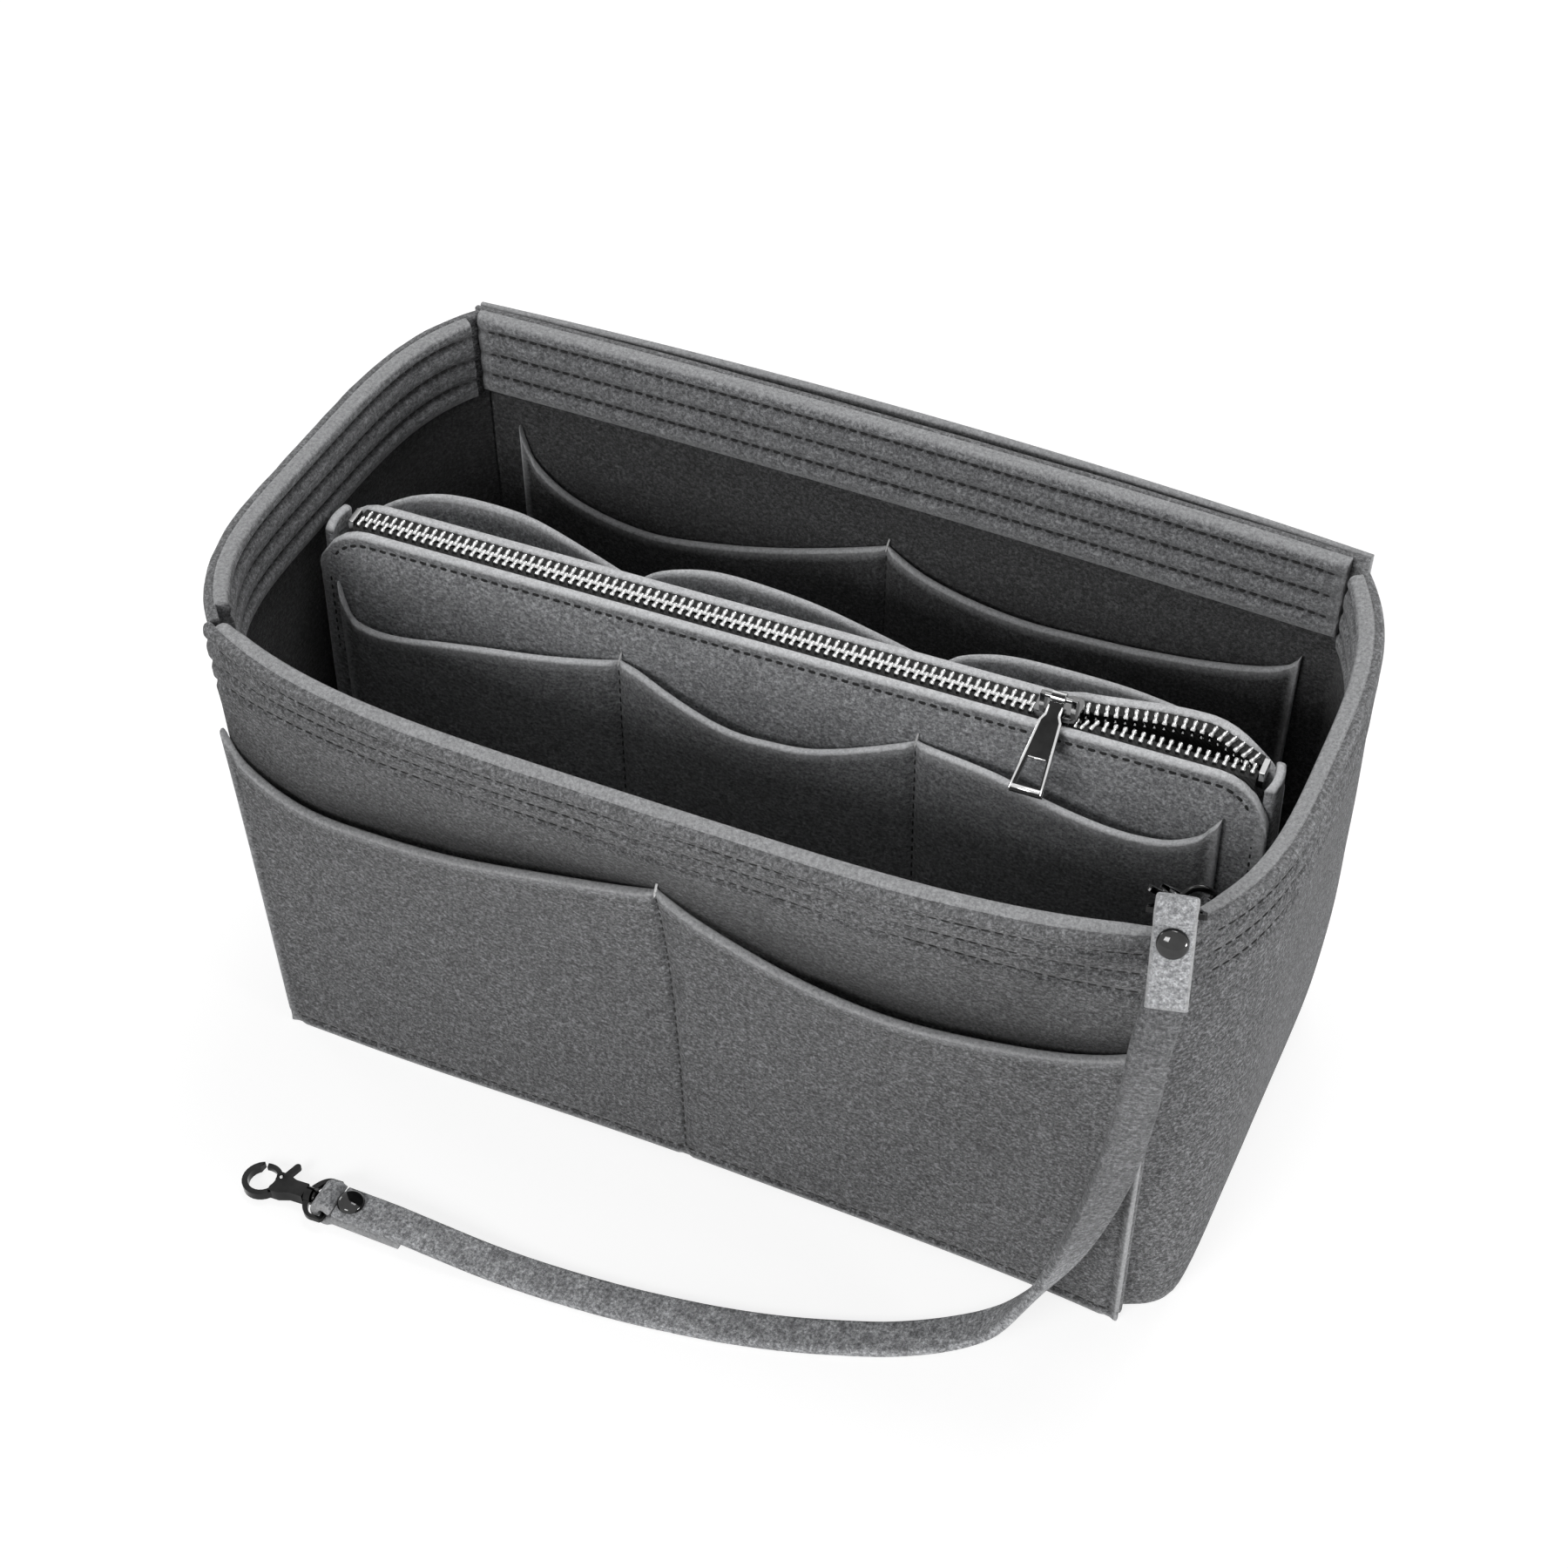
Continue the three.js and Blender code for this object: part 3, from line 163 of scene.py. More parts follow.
def felt_material(name, level, contrast, edge):
    """Heathered felt: fine light and dark fibres, soft clouds, a painted shade where the shade attribute is set, and a
    lighter cut edge, partly the cut fibres' own colour and partly a painted highlight.
    """
    n = Nodes(name, Roughness=0.95, Specular_IOR_Level=0.15, Sheen_Weight=0.18, Sheen_Roughness=0.6)
    fine = n.noise(FINE, 3, 0.8)
    fibres = n.noise(FIBRE, 4, 0.85, stretch=(1.0, 0.45, 1.8))
    clouds = n.noise(CLOUD, 3, 0.6)
    wide = n.noise(BROAD, 2, 0.5)
    span = 30 * contrast
    body = n.ramp(fine, 0, [
        (0.36, grey(level - span, 0.04)), (0.5, grey(level, 0.035)), (0.64, grey(level + span, 0.03)),
    ])
    streak = n.ramp(fibres, 0, [(0.36, 0.6), (0.5, 1.0), (0.64, 1.45)])
    cloud = n.ramp(clouds, 0, [(0.35, 0.88), (0.65, 1.12)])
    broad = n.ramp(wide, 0, [(0.3, 0.93), (0.7, 1.06)])
    # Painted shade: the shade attribute darkens the colour.
    deep = n.add("ShaderNodeAttribute", attribute_name="shade")
    dim = n.ramp(deep, "Fac", [(0.0, 1.0), (1.0, SHADED)])
    felt, out = body, 0
    for share, layer in ((0.75 * contrast, streak), (0.8, cloud), (1.0, broad), (1.0, dim)):
        felt, out = n.mix("MULTIPLY", share, (felt, out), (layer, 0)), 2
    # A lighter colour where the edge attribute is set: the cut fibres' own, and a painted highlight.
    cut = n.add("ShaderNodeAttribute", attribute_name="edge")
    cut_colour_and_highlight = n.ramp(fine, 0, [(0.3, grey(level + edge - 26, 0.02)), (0.7, grey(level + edge + 26, 0.02))])
    rough = n.bump(fibres, 0, 0.75, 0.0008)
    return n.done(n.mix("MIX", (cut, "Fac"), (felt, out), (cut_colour_and_highlight, 0)), 2, n.bump(fine, 0, 0.7, 0.0005, rough))


def thread_material(name, level):
    n = Nodes(name, Roughness=0.8)
    twist = n.noise(TWIST, 2, 0.5, stretch=(1.0, 1.0, 0.4))
    colour = n.ramp(twist, 0, [(0.3, grey(level - 16)), (0.7, grey(level + 16))])
    return n.done(colour, 0, n.bump(twist, 0, 0.4, 0.0002))


def tape_material(name, level):
    n = Nodes(name, Roughness=0.85)
    weave = n.add("ShaderNodeTexWave", wave_type="BANDS", bands_direction="DIAGONAL")
    put(weave, Scale=WEAVE, Distortion=1.5)
    n.link(n.coordinates, "Object", weave, "Vector")
    colour = n.ramp(weave, 1, [(0.2, grey(level - 8)), (0.8, grey(level + 10))])
    return n.done(colour, 0, n.bump(weave, 1, 0.4, 0.0003))


def metal_material(name, level, roughness, wear=0.06):
    n = Nodes(name, Metallic=1)
    smudge = n.noise(SMUDGE, 4, 0.6)
    scratch = n.noise(SCRATCH, 2, 0.5, stretch=(1, 12, 1))
    colour = n.ramp(smudge, 0, [(0.3, grey(level - 8)), (0.7, grey(level + 8))])
    spread = n.ramp(smudge, 0, [(0.3, max(0.02, roughness - wear / 2)), (0.7, roughness + wear)])
    n.link(spread, 0, n.shader, "Roughness")
    return n.done(colour, 0, n.bump(scratch, 0, 0.05, 0.0001))


FELT = felt_material("felt_outer", 93, contrast=1.6, edge=72)
FELT_FACING = felt_material("felt_facing", 138, contrast=1.3, edge=34)
FELT_POUCH = felt_material("felt_pouch", 160, contrast=1.35, edge=60)
FELT_INSIDE = felt_material("felt_inner", 96, contrast=1.5, edge=110)
FELT_STRAP = felt_material("felt_strap", 160, contrast=1.4, edge=8)
# The strap's felt painted lighter for the upper tab: painted light on the tab.
FELT_STRAP_PAINTED_LIGHT = felt_material("felt_strap_painted_light", 178, contrast=1.2, edge=-6)
THREAD = thread_material("thread_dark", 34)
THREAD_LIGHT = thread_material("thread_light", 205)
TAPE = tape_material("zip_tape", 30)
SILVER = metal_material("silver", 208, 0.2)
NICKEL = metal_material("black_nickel", 46, 0.08)
BRIGHT = metal_material("polished_nickel", 215, 0.1)
CHROME = metal_material("chrome", 128, 0.12)
CHROME_DARK = metal_material("smoked_chrome", 66, 0.05, wear=0.02)
CLASP = metal_material("clasp_nickel", 48, 0.08)


# ---- mesh helpers
def piece(name, points, faces, material, body, nodes=(), slot="felt", smooth=True, **values):
    """A visible piece on a body. values are numbers stored on its points: edge, which lightens cut edges, partly as a
    painted highlight, and shade, which is painted shade.
    """
    mesh = bpy.data.meshes.new(name)
    mesh.from_pydata((np.asarray(points) * MM).tolist(), [], faces)
    mesh.update()
    for key, value in values.items():
        if value is not None:
            mesh.attributes.new(key, "FLOAT", "POINT").data.foreach_set("value", np.asarray(value, float).ravel())
    mesh.materials.append(material)
    if smooth:
        mesh.shade_smooth()
    made = placed(name, mesh)
    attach(made, body)
    if nodes:
        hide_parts(*nodes)
    return made


def slab_faces(wide, tall):
    """The faces round two layers of wide by tall points."""
    faces = []

    def at(layer, i, j):
        return (layer * wide + i) * tall + j

    for i in range(wide - 1):
        for j in range(tall - 1):
            faces.append((at(0, i, j), at(0, i, j + 1), at(0, i + 1, j + 1), at(0, i + 1, j)))
            faces.append((at(1, i, j), at(1, i + 1, j), at(1, i + 1, j + 1), at(1, i, j + 1)))
        faces.append((at(0, i, 0), at(0, i + 1, 0), at(1, i + 1, 0), at(1, i, 0)))
        faces.append((at(0, i, tall - 1), at(1, i, tall - 1), at(1, i + 1, tall - 1), at(0, i + 1, tall - 1)))
    for j in range(tall - 1):
        faces.append((at(0, 0, j), at(1, 0, j), at(1, 0, j + 1), at(0, 0, j + 1)))
        faces.append((at(0, wide - 1, j), at(0, wide - 1, j + 1), at(1, wide - 1, j + 1), at(1, wide - 1, j)))
    return faces


def outward(points, faces):
    """The faces, turned round where the volume that they close is negative."""
    p = np.asarray(points)
    total = 0.0
    for face in faces:
        a = p[face[0]]
        for k in range(1, len(face) - 1):
            total += np.dot(a, np.cross(p[face[k]], p[face[k + 1]]))
    return faces if total > 0 else [tuple(reversed(face)) for face in faces]


def tube_faces(rings, sides, base=0, turned=False):
    """The faces between rings of points, and a cap on each end. turned winds the caps the other way round."""
    def at(i, j):
        return base + i * sides + j % sides

    faces = [(at(i, j), at(i, j + 1), at(i + 1, j + 1), at(i + 1, j)) for i in range(rings - 1) for j in range(sides)]
    first, last = (tuple(at(i, j) for j in range(sides)) for i in (0, rings - 1))
    return faces + ([first, last[::-1]] if turned else [first[::-1], last])


def smoothstep(x, low, high):
    t = np.clip((np.asarray(x, float) - low) / (high - low), 0, 1)
    return t * t * (3 - 2 * t)


def lerp(a, b, t):
    return a + (b - a) * t


def hermite(a, b, u, v, t):
    """From a, which is left along u, to b, which is reached along v."""
    return (2 * a - 2 * b + u + v) * t**3 + (-3 * a + 3 * b - 2 * u - v) * t**2 + u * t + a


def rounding(r, past):
    """How far a rounded edge of radius r has dropped at this distance past its start."""
    return r - np.sqrt(np.maximum(0, r**2 - past**2))


def waves(seed):
    """A soft, seeded unevenness of about -1 to 1 over lengths of 20 to 90 mm."""
    r = np.random.default_rng(seed)
    parts = [(r.uniform(20, 90), r.uniform(0, 2 * np.pi), r.uniform(0, 2 * np.pi), r.uniform(0.5, 1))
             for _ in range(6)]

    def value(x, z):
        total = 0
        for size, turn, phase, weight in parts:
            total = total + weight * np.sin((x * math.cos(turn) + z * math.sin(turn)) * 2 * np.pi / size + phase)
        return total / 3

    return value


# ---- walls, with the solids' own sizes
FELT_T, POCKET_T, CLEAR, HEIGHT, FACING = 3.0, 2.6, 0.3, 158.0, 26.0
UNIT, SIDE_UNIT = 134.0, 72.0  # about half the length of the front and of a side
FLOOR_LENGTH, RIM_LENGTH = 129.5, 134.5  # half the length at the floor and at the rim


def half_length(z):
    return lerp(FLOOR_LENGTH, RIM_LENGTH, z / HEIGHT)


def half_depth(z):
    return lerp(70.5, 75.5, z / HEIGHT)


def stack(x, y, z):
    return np.stack(np.broadcast_arrays(x, y, z), -1).astype(float)


def front_wall(s, z):
    bow = np.maximum(z / HEIGHT, 0) ** 3.5 * (1 - s**4) * (1 - 0.1 * s)
    return stack(s * half_length(z), -half_depth(z) - 16.5 * bow, z)


def back_wall(s, z):
    return stack(s * half_length(z), half_depth(z) + 2.5 * (z / HEIGHT) * (1 - s * s), z)


def side_wall(side):
    def at(s, z):
        below = 1 - np.minimum(z / HEIGHT, 1)
        most = lerp(17.2, 10.8, below**4) if side > 0 else lerp(15.5, 14.8, below)
        flatness = lerp(3.4, 14.0, below**2.2) if side > 0 else 4.0
        bulge = most * (1 - np.abs(s) ** flatness) * (1 - 0.1 * s)
        return stack(side * (half_length(z) + bulge), s * (half_depth(z) - FELT_T - CLEAR), z)

    return at


# Each wall's surface, the way out of it, the half length that s = 1 stands for, and its body
WALLS = {
    "front": (front_wall, (0, -1.0, 0), UNIT, "body"),
    "back": (back_wall, (0, 1.0, 0), UNIT, "body"),
    "left": (side_wall(-1), (-1.0, 0, 0), SIDE_UNIT, "body"),
    "right": (side_wall(1), (1.0, 0, 0), SIDE_UNIT, "body"),
}

# The pouch, in its own frame
TURN = math.radians(2.3)
POUCH_AT = np.array([-3.0, 1.75, 3.3])
POUCH_HALF, POUCH_H = 137.5, 136.2
CHAIN_FROM, CHAIN_TO, SLIDER_AT = -128.0, 132.0, 77.5
TOP_LEAN, TOP_SOFT, BULGE_FROM = 12, 15, 45  # below the pouch's top
TOP_CORNER, TOP_SEAM = 15.0, 3.4  # the panels' rounded corner, and the seam along their top


def row_part(side, x):
    """How far a row of the zip stands from the middle line."""
    start = SLIDER_AT - 3
    meet = 1 - smoothstep(x, CHAIN_TO - 17, CHAIN_TO + 3)
    both = 1.6 * smoothstep(x, start, start + 7)
    if side < 0:
        return both * (1 - smoothstep(x, SLIDER_AT + 6, SLIDER_AT + 13))
    return (both + 5 * smoothstep(x, start, start + 38)) * meet


def eased_row(x):
    """The rear row's part as the rear pocket follows it: wider and softer."""
    return 5 * smoothstep(x, 41, 115) * (1 - smoothstep(x, CHAIN_TO - 17, CHAIN_TO + 3))


def pouch_wall(side, lean, row):
    """A pouch panel's outside. row(x) is how far the parted row pushes it out near its top."""
    def at(s, z):
        x = s * POUCH_HALF
        high = smoothstep(z, POUCH_H - BULGE_FROM, POUCH_H - TOP_SOFT)
        depth = lerp(9.0, 8.7, high) + row(x) * high
        return stack(x, side * (depth - lean * smoothstep(z, POUCH_H - TOP_LEAN, POUCH_H)), z)

    return at


def pouch_top(x):
    return POUCH_H - rounding(TOP_CORNER, np.maximum(0, np.abs(x) - (POUCH_HALF - TOP_CORNER)))


def in_world(p):
    p = np.asarray(p, float)
    c, s = math.cos(TURN), math.sin(TURN)
    return np.stack([c * p[..., 0] - s * p[..., 1], s * p[..., 0] + c * p[..., 1], p[..., 2]], -1) + POUCH_AT


for name, side, *form in (("pouch_front", -1, 1.5, lambda x: 0), ("pouch_rear", 1, 0.95, lambda x: row_part(1, x)),
                          ("pouch_rear_soft", 1, 0.95, eased_row)):
    WALLS[name] = (pouch_wall(side, *form), (0, float(side), 0), POUCH_HALF, "pouch")


def normal_of(wall, s, z):
    at, out = WALLS[wall][:2]
    d = 1e-3
    along = at(s + d, z) - at(s - d, z)
    rise = at(s, z + d * HEIGHT) - at(s, np.maximum(z - d * HEIGHT, 0))
    n = np.cross(along, rise)
    n /= np.linalg.norm(n, axis=-1, keepdims=True)
    return np.where((n @ out)[..., None] < 0, -n, n)


def off_wall(wall, s, z, distance):
    return WALLS[wall][0](s, z) + normal_of(wall, s, z) * np.asarray(distance)[..., None]


EDGE = np.array([0, 0.1, 0.3, 0.62, 1.05])  # steps in from a cut edge, over its rounding
ROLL_H = 3.6  # how far down from its top a sheet bends
SEAM_STEPS, ROW_STEPS = (-2.4, -1.2, -0.5, 0, 0.5, 1.2, 2.4), (-2.2, -1.1, -0.4, 0.4, 1.1, 2.2)
BEND_AT = (0.9, 0.915, 0.93, 0.945, 0.96, 0.97)  # where the side walls turn most


def sheet(name, wall, s0, s1, top, bottom, d0, d1, off=None, inner=None, outer=None, step=3.4, row_step=3.4,
          material=FELT, end_rows=True, seams=(), rows_at=(), dim=(0, 0), roll=(0, 0), rim=1.0, shaded=None):
    """A felt sheet on a wall with rounded cut edges. d0 and d1 are its faces' distances outside the wall; off(s, z,
    top) moves both faces, inner and outer move one of them outwards from the sheet. rows_at are heights that get
    close rows, roll bends the faces at the top, dim and shaded are painted shades of the inner and outer face."""
    unit, body = WALLS[wall][2:]
    r = EDGE[-1]
    count = max(4, int((s1 - s0) * unit / step))
    e = EDGE / unit
    s = np.linspace(s0 + e[-1], s1 - e[-1], count)[1:-1]
    extra = [q + k / unit for q in seams for k in SEAM_STEPS]
    if wall in ("left", "right"):
        extra += [q * k for q in (-1, 1) for k in BEND_AT]
    s = np.sort(np.concatenate([s0 + e, s, s1 - e, [q for q in extra if s0 + 2 * e[-1] < q < s1 - 2 * e[-1]]]))
    s = s[np.concatenate([[True], np.diff(s) > 0.06 / unit])]
    tops = top(s) if callable(top) else np.full_like(s, float(top))
    bottoms = bottom(s) if callable(bottom) else np.full_like(s, float(bottom))
    rows = max(3, int((tops.max() - bottoms.min()) / row_step))
    height = tops.max() - bottoms.min() - 2 * r
    share = list(np.linspace(0, 1, rows))[1:-1]
    for q in rows_at:
        share += [(q + k - bottoms.min() - r) / height for k in ROW_STEPS]
    share = np.array(sorted(q for q in share if 0 <= q < 1))
    share = share[np.concatenate([[True], np.diff(share) > 0.15 / height])]
    z = bottoms[:, None] + r + share[None, :] * (tops - bottoms - r - r)[:, None]
    z = np.concatenate([bottoms[:, None] + EDGE[None, :-1], z, tops[:, None] - EDGE[::-1][None, :]], 1)
    grid_s = np.repeat(s[:, None], z.shape[1], 1)
    reach = np.minimum(tops[:, None] - z, z - bottoms[:, None])
    if end_rows:
        reach = np.minimum(reach, np.minimum(grid_s - s0, s1 - grid_s) * unit)
    t = np.clip(reach / r, 0, 1)
    inset = r * rounding(1, 1 - t) * 0.92
    shift = off(grid_s, z, tops[:, None]) if off else 0
    curl = rounding(1, np.clip(1 - (tops[:, None] - z) / ROLL_H, 0, 1))
    near = d0 + shift + inset - (inner(grid_s, z) if inner else 0) * (inset < 0.9) + roll[0] * curl
    far = d1 + shift - inset + (outer(grid_s, z) if outer else 0) * (inset < 0.9) - roll[1] * curl
    a = off_wall(wall, grid_s, z, near)
    b = off_wall(wall, grid_s, z, far)
    if body == "pouch":
        a, b = in_world(a), in_world(b)
    points = np.concatenate([a.reshape(-1, 3), b.reshape(-1, 3)])
    points[:, 2] = np.maximum(points[:, 2], 0)
    faces = outward(points, slab_faces(*z.shape))
    edge = np.clip((1.3 - reach) / 0.5, 0, 1).ravel()
    # Painted shade: dim darkens the inner face below the facing's height and the outer face, but not the cut edges;
    # shaded adds more painted shade.
    inside = (1 - edge) * (smoothstep(HEIGHT - FACING + 1 - z, 0, 4).ravel() if dim[0] else 1)
    shade = np.concatenate([inside * dim[0], (1 - edge) * dim[1]])
    if shaded:
        shade = np.clip(shade + np.concatenate([part.ravel() for part in shaded(grid_s, z)]), 0, 1)
    # edge lightens the cut edges, partly the cut fibres' own colour and partly a painted highlight, scaled by rim.
    piece(name + "_felt", points, faces, material, body, [name], edge=np.tile(edge * rim, 2), shade=shade)


THREAD_PROFILE, THREAD_SIDES = ((-0.5, 0.25), (-0.36, 0.85), (0, 1.0), (0.36, 0.85), (0.5, 0.25)), 6


def stitch_row(name, wall, s, z, distance, way=1, pitch=3.3, length=2.3, width=0.75, lift=0.0, material=THREAD):
    """Threads along a line on a wall: one short, flattened, tapered thread at each pitch. way is -1 on its inside."""
    s, z = np.broadcast_arrays(np.asarray(s, float), np.asarray(z, float))
    body = WALLS[wall][3]
    path = off_wall(wall, s, z, np.broadcast_to(distance, s.shape))
    normals = way * normal_of(wall, s, z)
    if body == "pouch":
        path, normals = in_world(path), in_world(normals) - POUCH_AT
    run = np.concatenate([[0], np.cumsum(np.linalg.norm(np.diff(path, axis=0), axis=1))])
    count = int(run[-1] / pitch)
    points, faces = [], []
    for k in range(count):
        mid = (k + 0.5) * run[-1] / count

        def at(q):
            return np.array([np.interp(q, run, path[:, i]) for i in range(3)])

        n = np.array([np.interp(mid, run, normals[:, i]) for i in range(3)])
        n /= np.linalg.norm(n)
        a, b = at(mid - length / 2), at(mid + length / 2)
        along = (b - a) / np.linalg.norm(b - a)
        side = np.cross(n, along)
        centre = (a + b) / 2 + n * lift
        base = len(points)
        for x, wide in THREAD_PROFILE:
            drop = -0.22 * width * (abs(x) * 2) ** 3
            for j in range(THREAD_SIDES):
                a = 2 * np.pi * j / THREAD_SIDES
                points.append(centre + along * x * length + side * math.cos(a) * wide * width / 2
                              + n * (math.sin(a) * wide * width * 0.34 + drop))
        faces += tube_faces(len(THREAD_PROFILE), THREAD_SIDES, base)
    piece(name, points, outward(points, faces), material, body)


# ---- body
ROWS = (5.0, 12.7, 20.0)


def dents(z, rows, width=1.3):
    return sum(np.exp(-(((z - row) / width) ** 2)) for row in rows)


RIM_ROWS = [HEIGHT - row for row in ROWS]


def band(z, puff, dent):
    """Puffed ridges between the rows of stitches under the rim."""
    within = smoothstep(z, HEIGHT - FACING - 1, HEIGHT - FACING + 3)
    return within * (puff - (puff + dent) * np.clip(dents(z, RIM_ROWS), 0, 1))


def lifted(s):
    """How far the front's lower edge stands off the floor."""
    return 4.2 * (1 - np.abs(s) ** 5) * smoothstep(s, -0.85, 0.05)


def spline(shares):
    """Depth of a scoop along it, from the same curve as the solid's."""
    p = np.array(shares, float)
    count = len(p)
    along, depth = [], []
    for t in np.linspace(0, 1, 400):
        q = (count - 1) * t
        i = min(int(q), count - 1)
        w = q - i
        a, b, c, d = p[max(i - 1, 0)], p[i], p[min(i + 1, count - 1)], p[min(i + 2, count - 1)]
        u, v = (c - a) / 2, (d - b) / 2
        x, y = hermite(b, c, u, v, w)
        along.append(x)
        depth.append(y)
    order = np.argsort(along)
    return np.array(along)[order], np.array(depth)[order]


OUTER_L = [[0, 0], [0.05, 0.6], [0.2, 1], [0.4, 0.86], [0.7, 0.42], [1, 0]]
OUTER_R = [[0, 0], [0.1, 0.42], [0.3, 0.88], [0.52, 1], [0.78, 0.72], [0.94, 0.36], [1, 0]]


def outer_top(s):
    """The top edge of the front's outer pockets."""
    left, right = spline(OUTER_L), spline(OUTER_R)
    a = np.where(s < 0, s + 1, s)
    deep = np.where(s < 0, np.interp(a, *left), np.interp(a, *right))
    return lerp(121, 124, 1 - np.abs(s)) - 16 * deep


def under_pocket(s, z):
    """A painted shade where the front goes down behind its pockets."""
    over = z - outer_top(s)
    return 0 * z, 0.95 * np.exp(-((np.maximum(over, 0) / 17) ** 1.5)) * (over > -6)


def panel(name, wall, seed, s_end=1.0, bottom=0.0, dim=0.78, end_rows=True, shaded=None):
    uneven = waves(seed)
    sheet(
        name, wall, -s_end, s_end, HEIGHT, bottom, -FELT_T, 0.0,
        off=lambda s, z, t: 0.25 * uneven(s * UNIT, z) * smoothstep(z, 4, 30),
        outer=lambda s, z: band(z, 0.3, 0.6), rows_at=RIM_ROWS + [HEIGHT - 2.6], dim=(dim, 0), roll=(0, 1.0),
        rim=0.2, end_rows=end_rows, shaded=shaded,
    )


# Painted shade: each panel's inner face darkens below the facing (dim), and the front's outer face darkens around the
# top of its pockets (under_pocket).
panel("front_panel", "front", 1, bottom=lifted, shaded=under_pocket)
panel("back_panel", "back", 2)
panel("left_side_panel", "left", 3, s_end=1.014, dim=0.97, end_rows=False)
panel("right_side_panel", "right", 4, s_end=1.014, dim=0.97, end_rows=False)

for wall, start, end in (("front", -0.98, 0.972), ("back", -0.984, 0.968), ("left", -0.95, 0.957),
                         ("right", -0.9, 0.957)):
    name, unit = wall + "_facing", WALLS[wall][2]
    # Painted shade: darker in the grooves between the rows of stitches, and over the whole left facing and, less, the
    # right.
    dark = 0.52 if wall == "left" else 0.2 if wall == "right" else 0
    sheet(
        name, wall, start, end, HEIGHT, HEIGHT - FACING, -2 * FELT_T - CLEAR, -FELT_T + 0.9,
        inner=lambda s, z: band(z, 0.8, 1.0) * (0.35 + 0.65 * smoothstep(np.minimum(s - start, end - s) * unit, 1, 8)),
        row_step=1.6, rows_at=RIM_ROWS + [HEIGHT - 2.6], material=FELT_FACING, roll=(1.6, 0), rim=0.75,
        end_rows=wall in ("front", "back"),
        shaded=lambda s, z: (0.7 * np.clip(dents(z, RIM_ROWS, 0.9), 0, 1) + dark, 0 * z),
    )
    for k, row in enumerate(ROWS):
        s = np.linspace(start + 0.02, end - 0.02, 160)
        stitch_row(f"{name}_stitches_{k + 1}", wall, s, HEIGHT - row, -2 * FELT_T - CLEAR + 0.75, -1, width=0.95,
                   lift=0.1)
        stitch_row(f"{name}_outer_stitches_{k + 1}", wall, s, HEIGHT - row, -0.4, width=0.6)

BASE_IN = 0.9  # how far the base reaches into the walls
corner = np.sin(np.linspace(-np.pi / 2, np.pi / 2, 60))
steps = len(corner)
ring = np.concatenate([
    off_wall("right", corner, np.zeros(steps), np.full(steps, BASE_IN - FELT_T)),
    off_wall("left", corner[::-1], np.zeros(steps), np.full(steps, BASE_IN - FELT_T)),
])
ring[:, 1] *= (half_depth(0) - FELT_T + BASE_IN) / (half_depth(0) - FELT_T - CLEAR)
levels = [(0.0, 0.9), (0.5, 0.3), (1.2, 0.0), (2.2, 0.2), (3.0, 1.0)]
points = []
for level, inset in levels:
    pull = ring - ring / np.linalg.norm(ring, axis=1, keepdims=True) * inset
    points += [(x, y, level) for x, y, _ in pull]
# The base is in a painted shade all over.
piece("base_felt", points, outward(points, tube_faces(len(levels), len(ring))), FELT_INSIDE, "body", ["base_panel"],
      shade=np.full(len(points), 0.8), smooth=False)


# ---- pockets
SEAM_IN, PINCH = 3.0, 1.0  # a seam's distance from the pocket's edge, and its depth


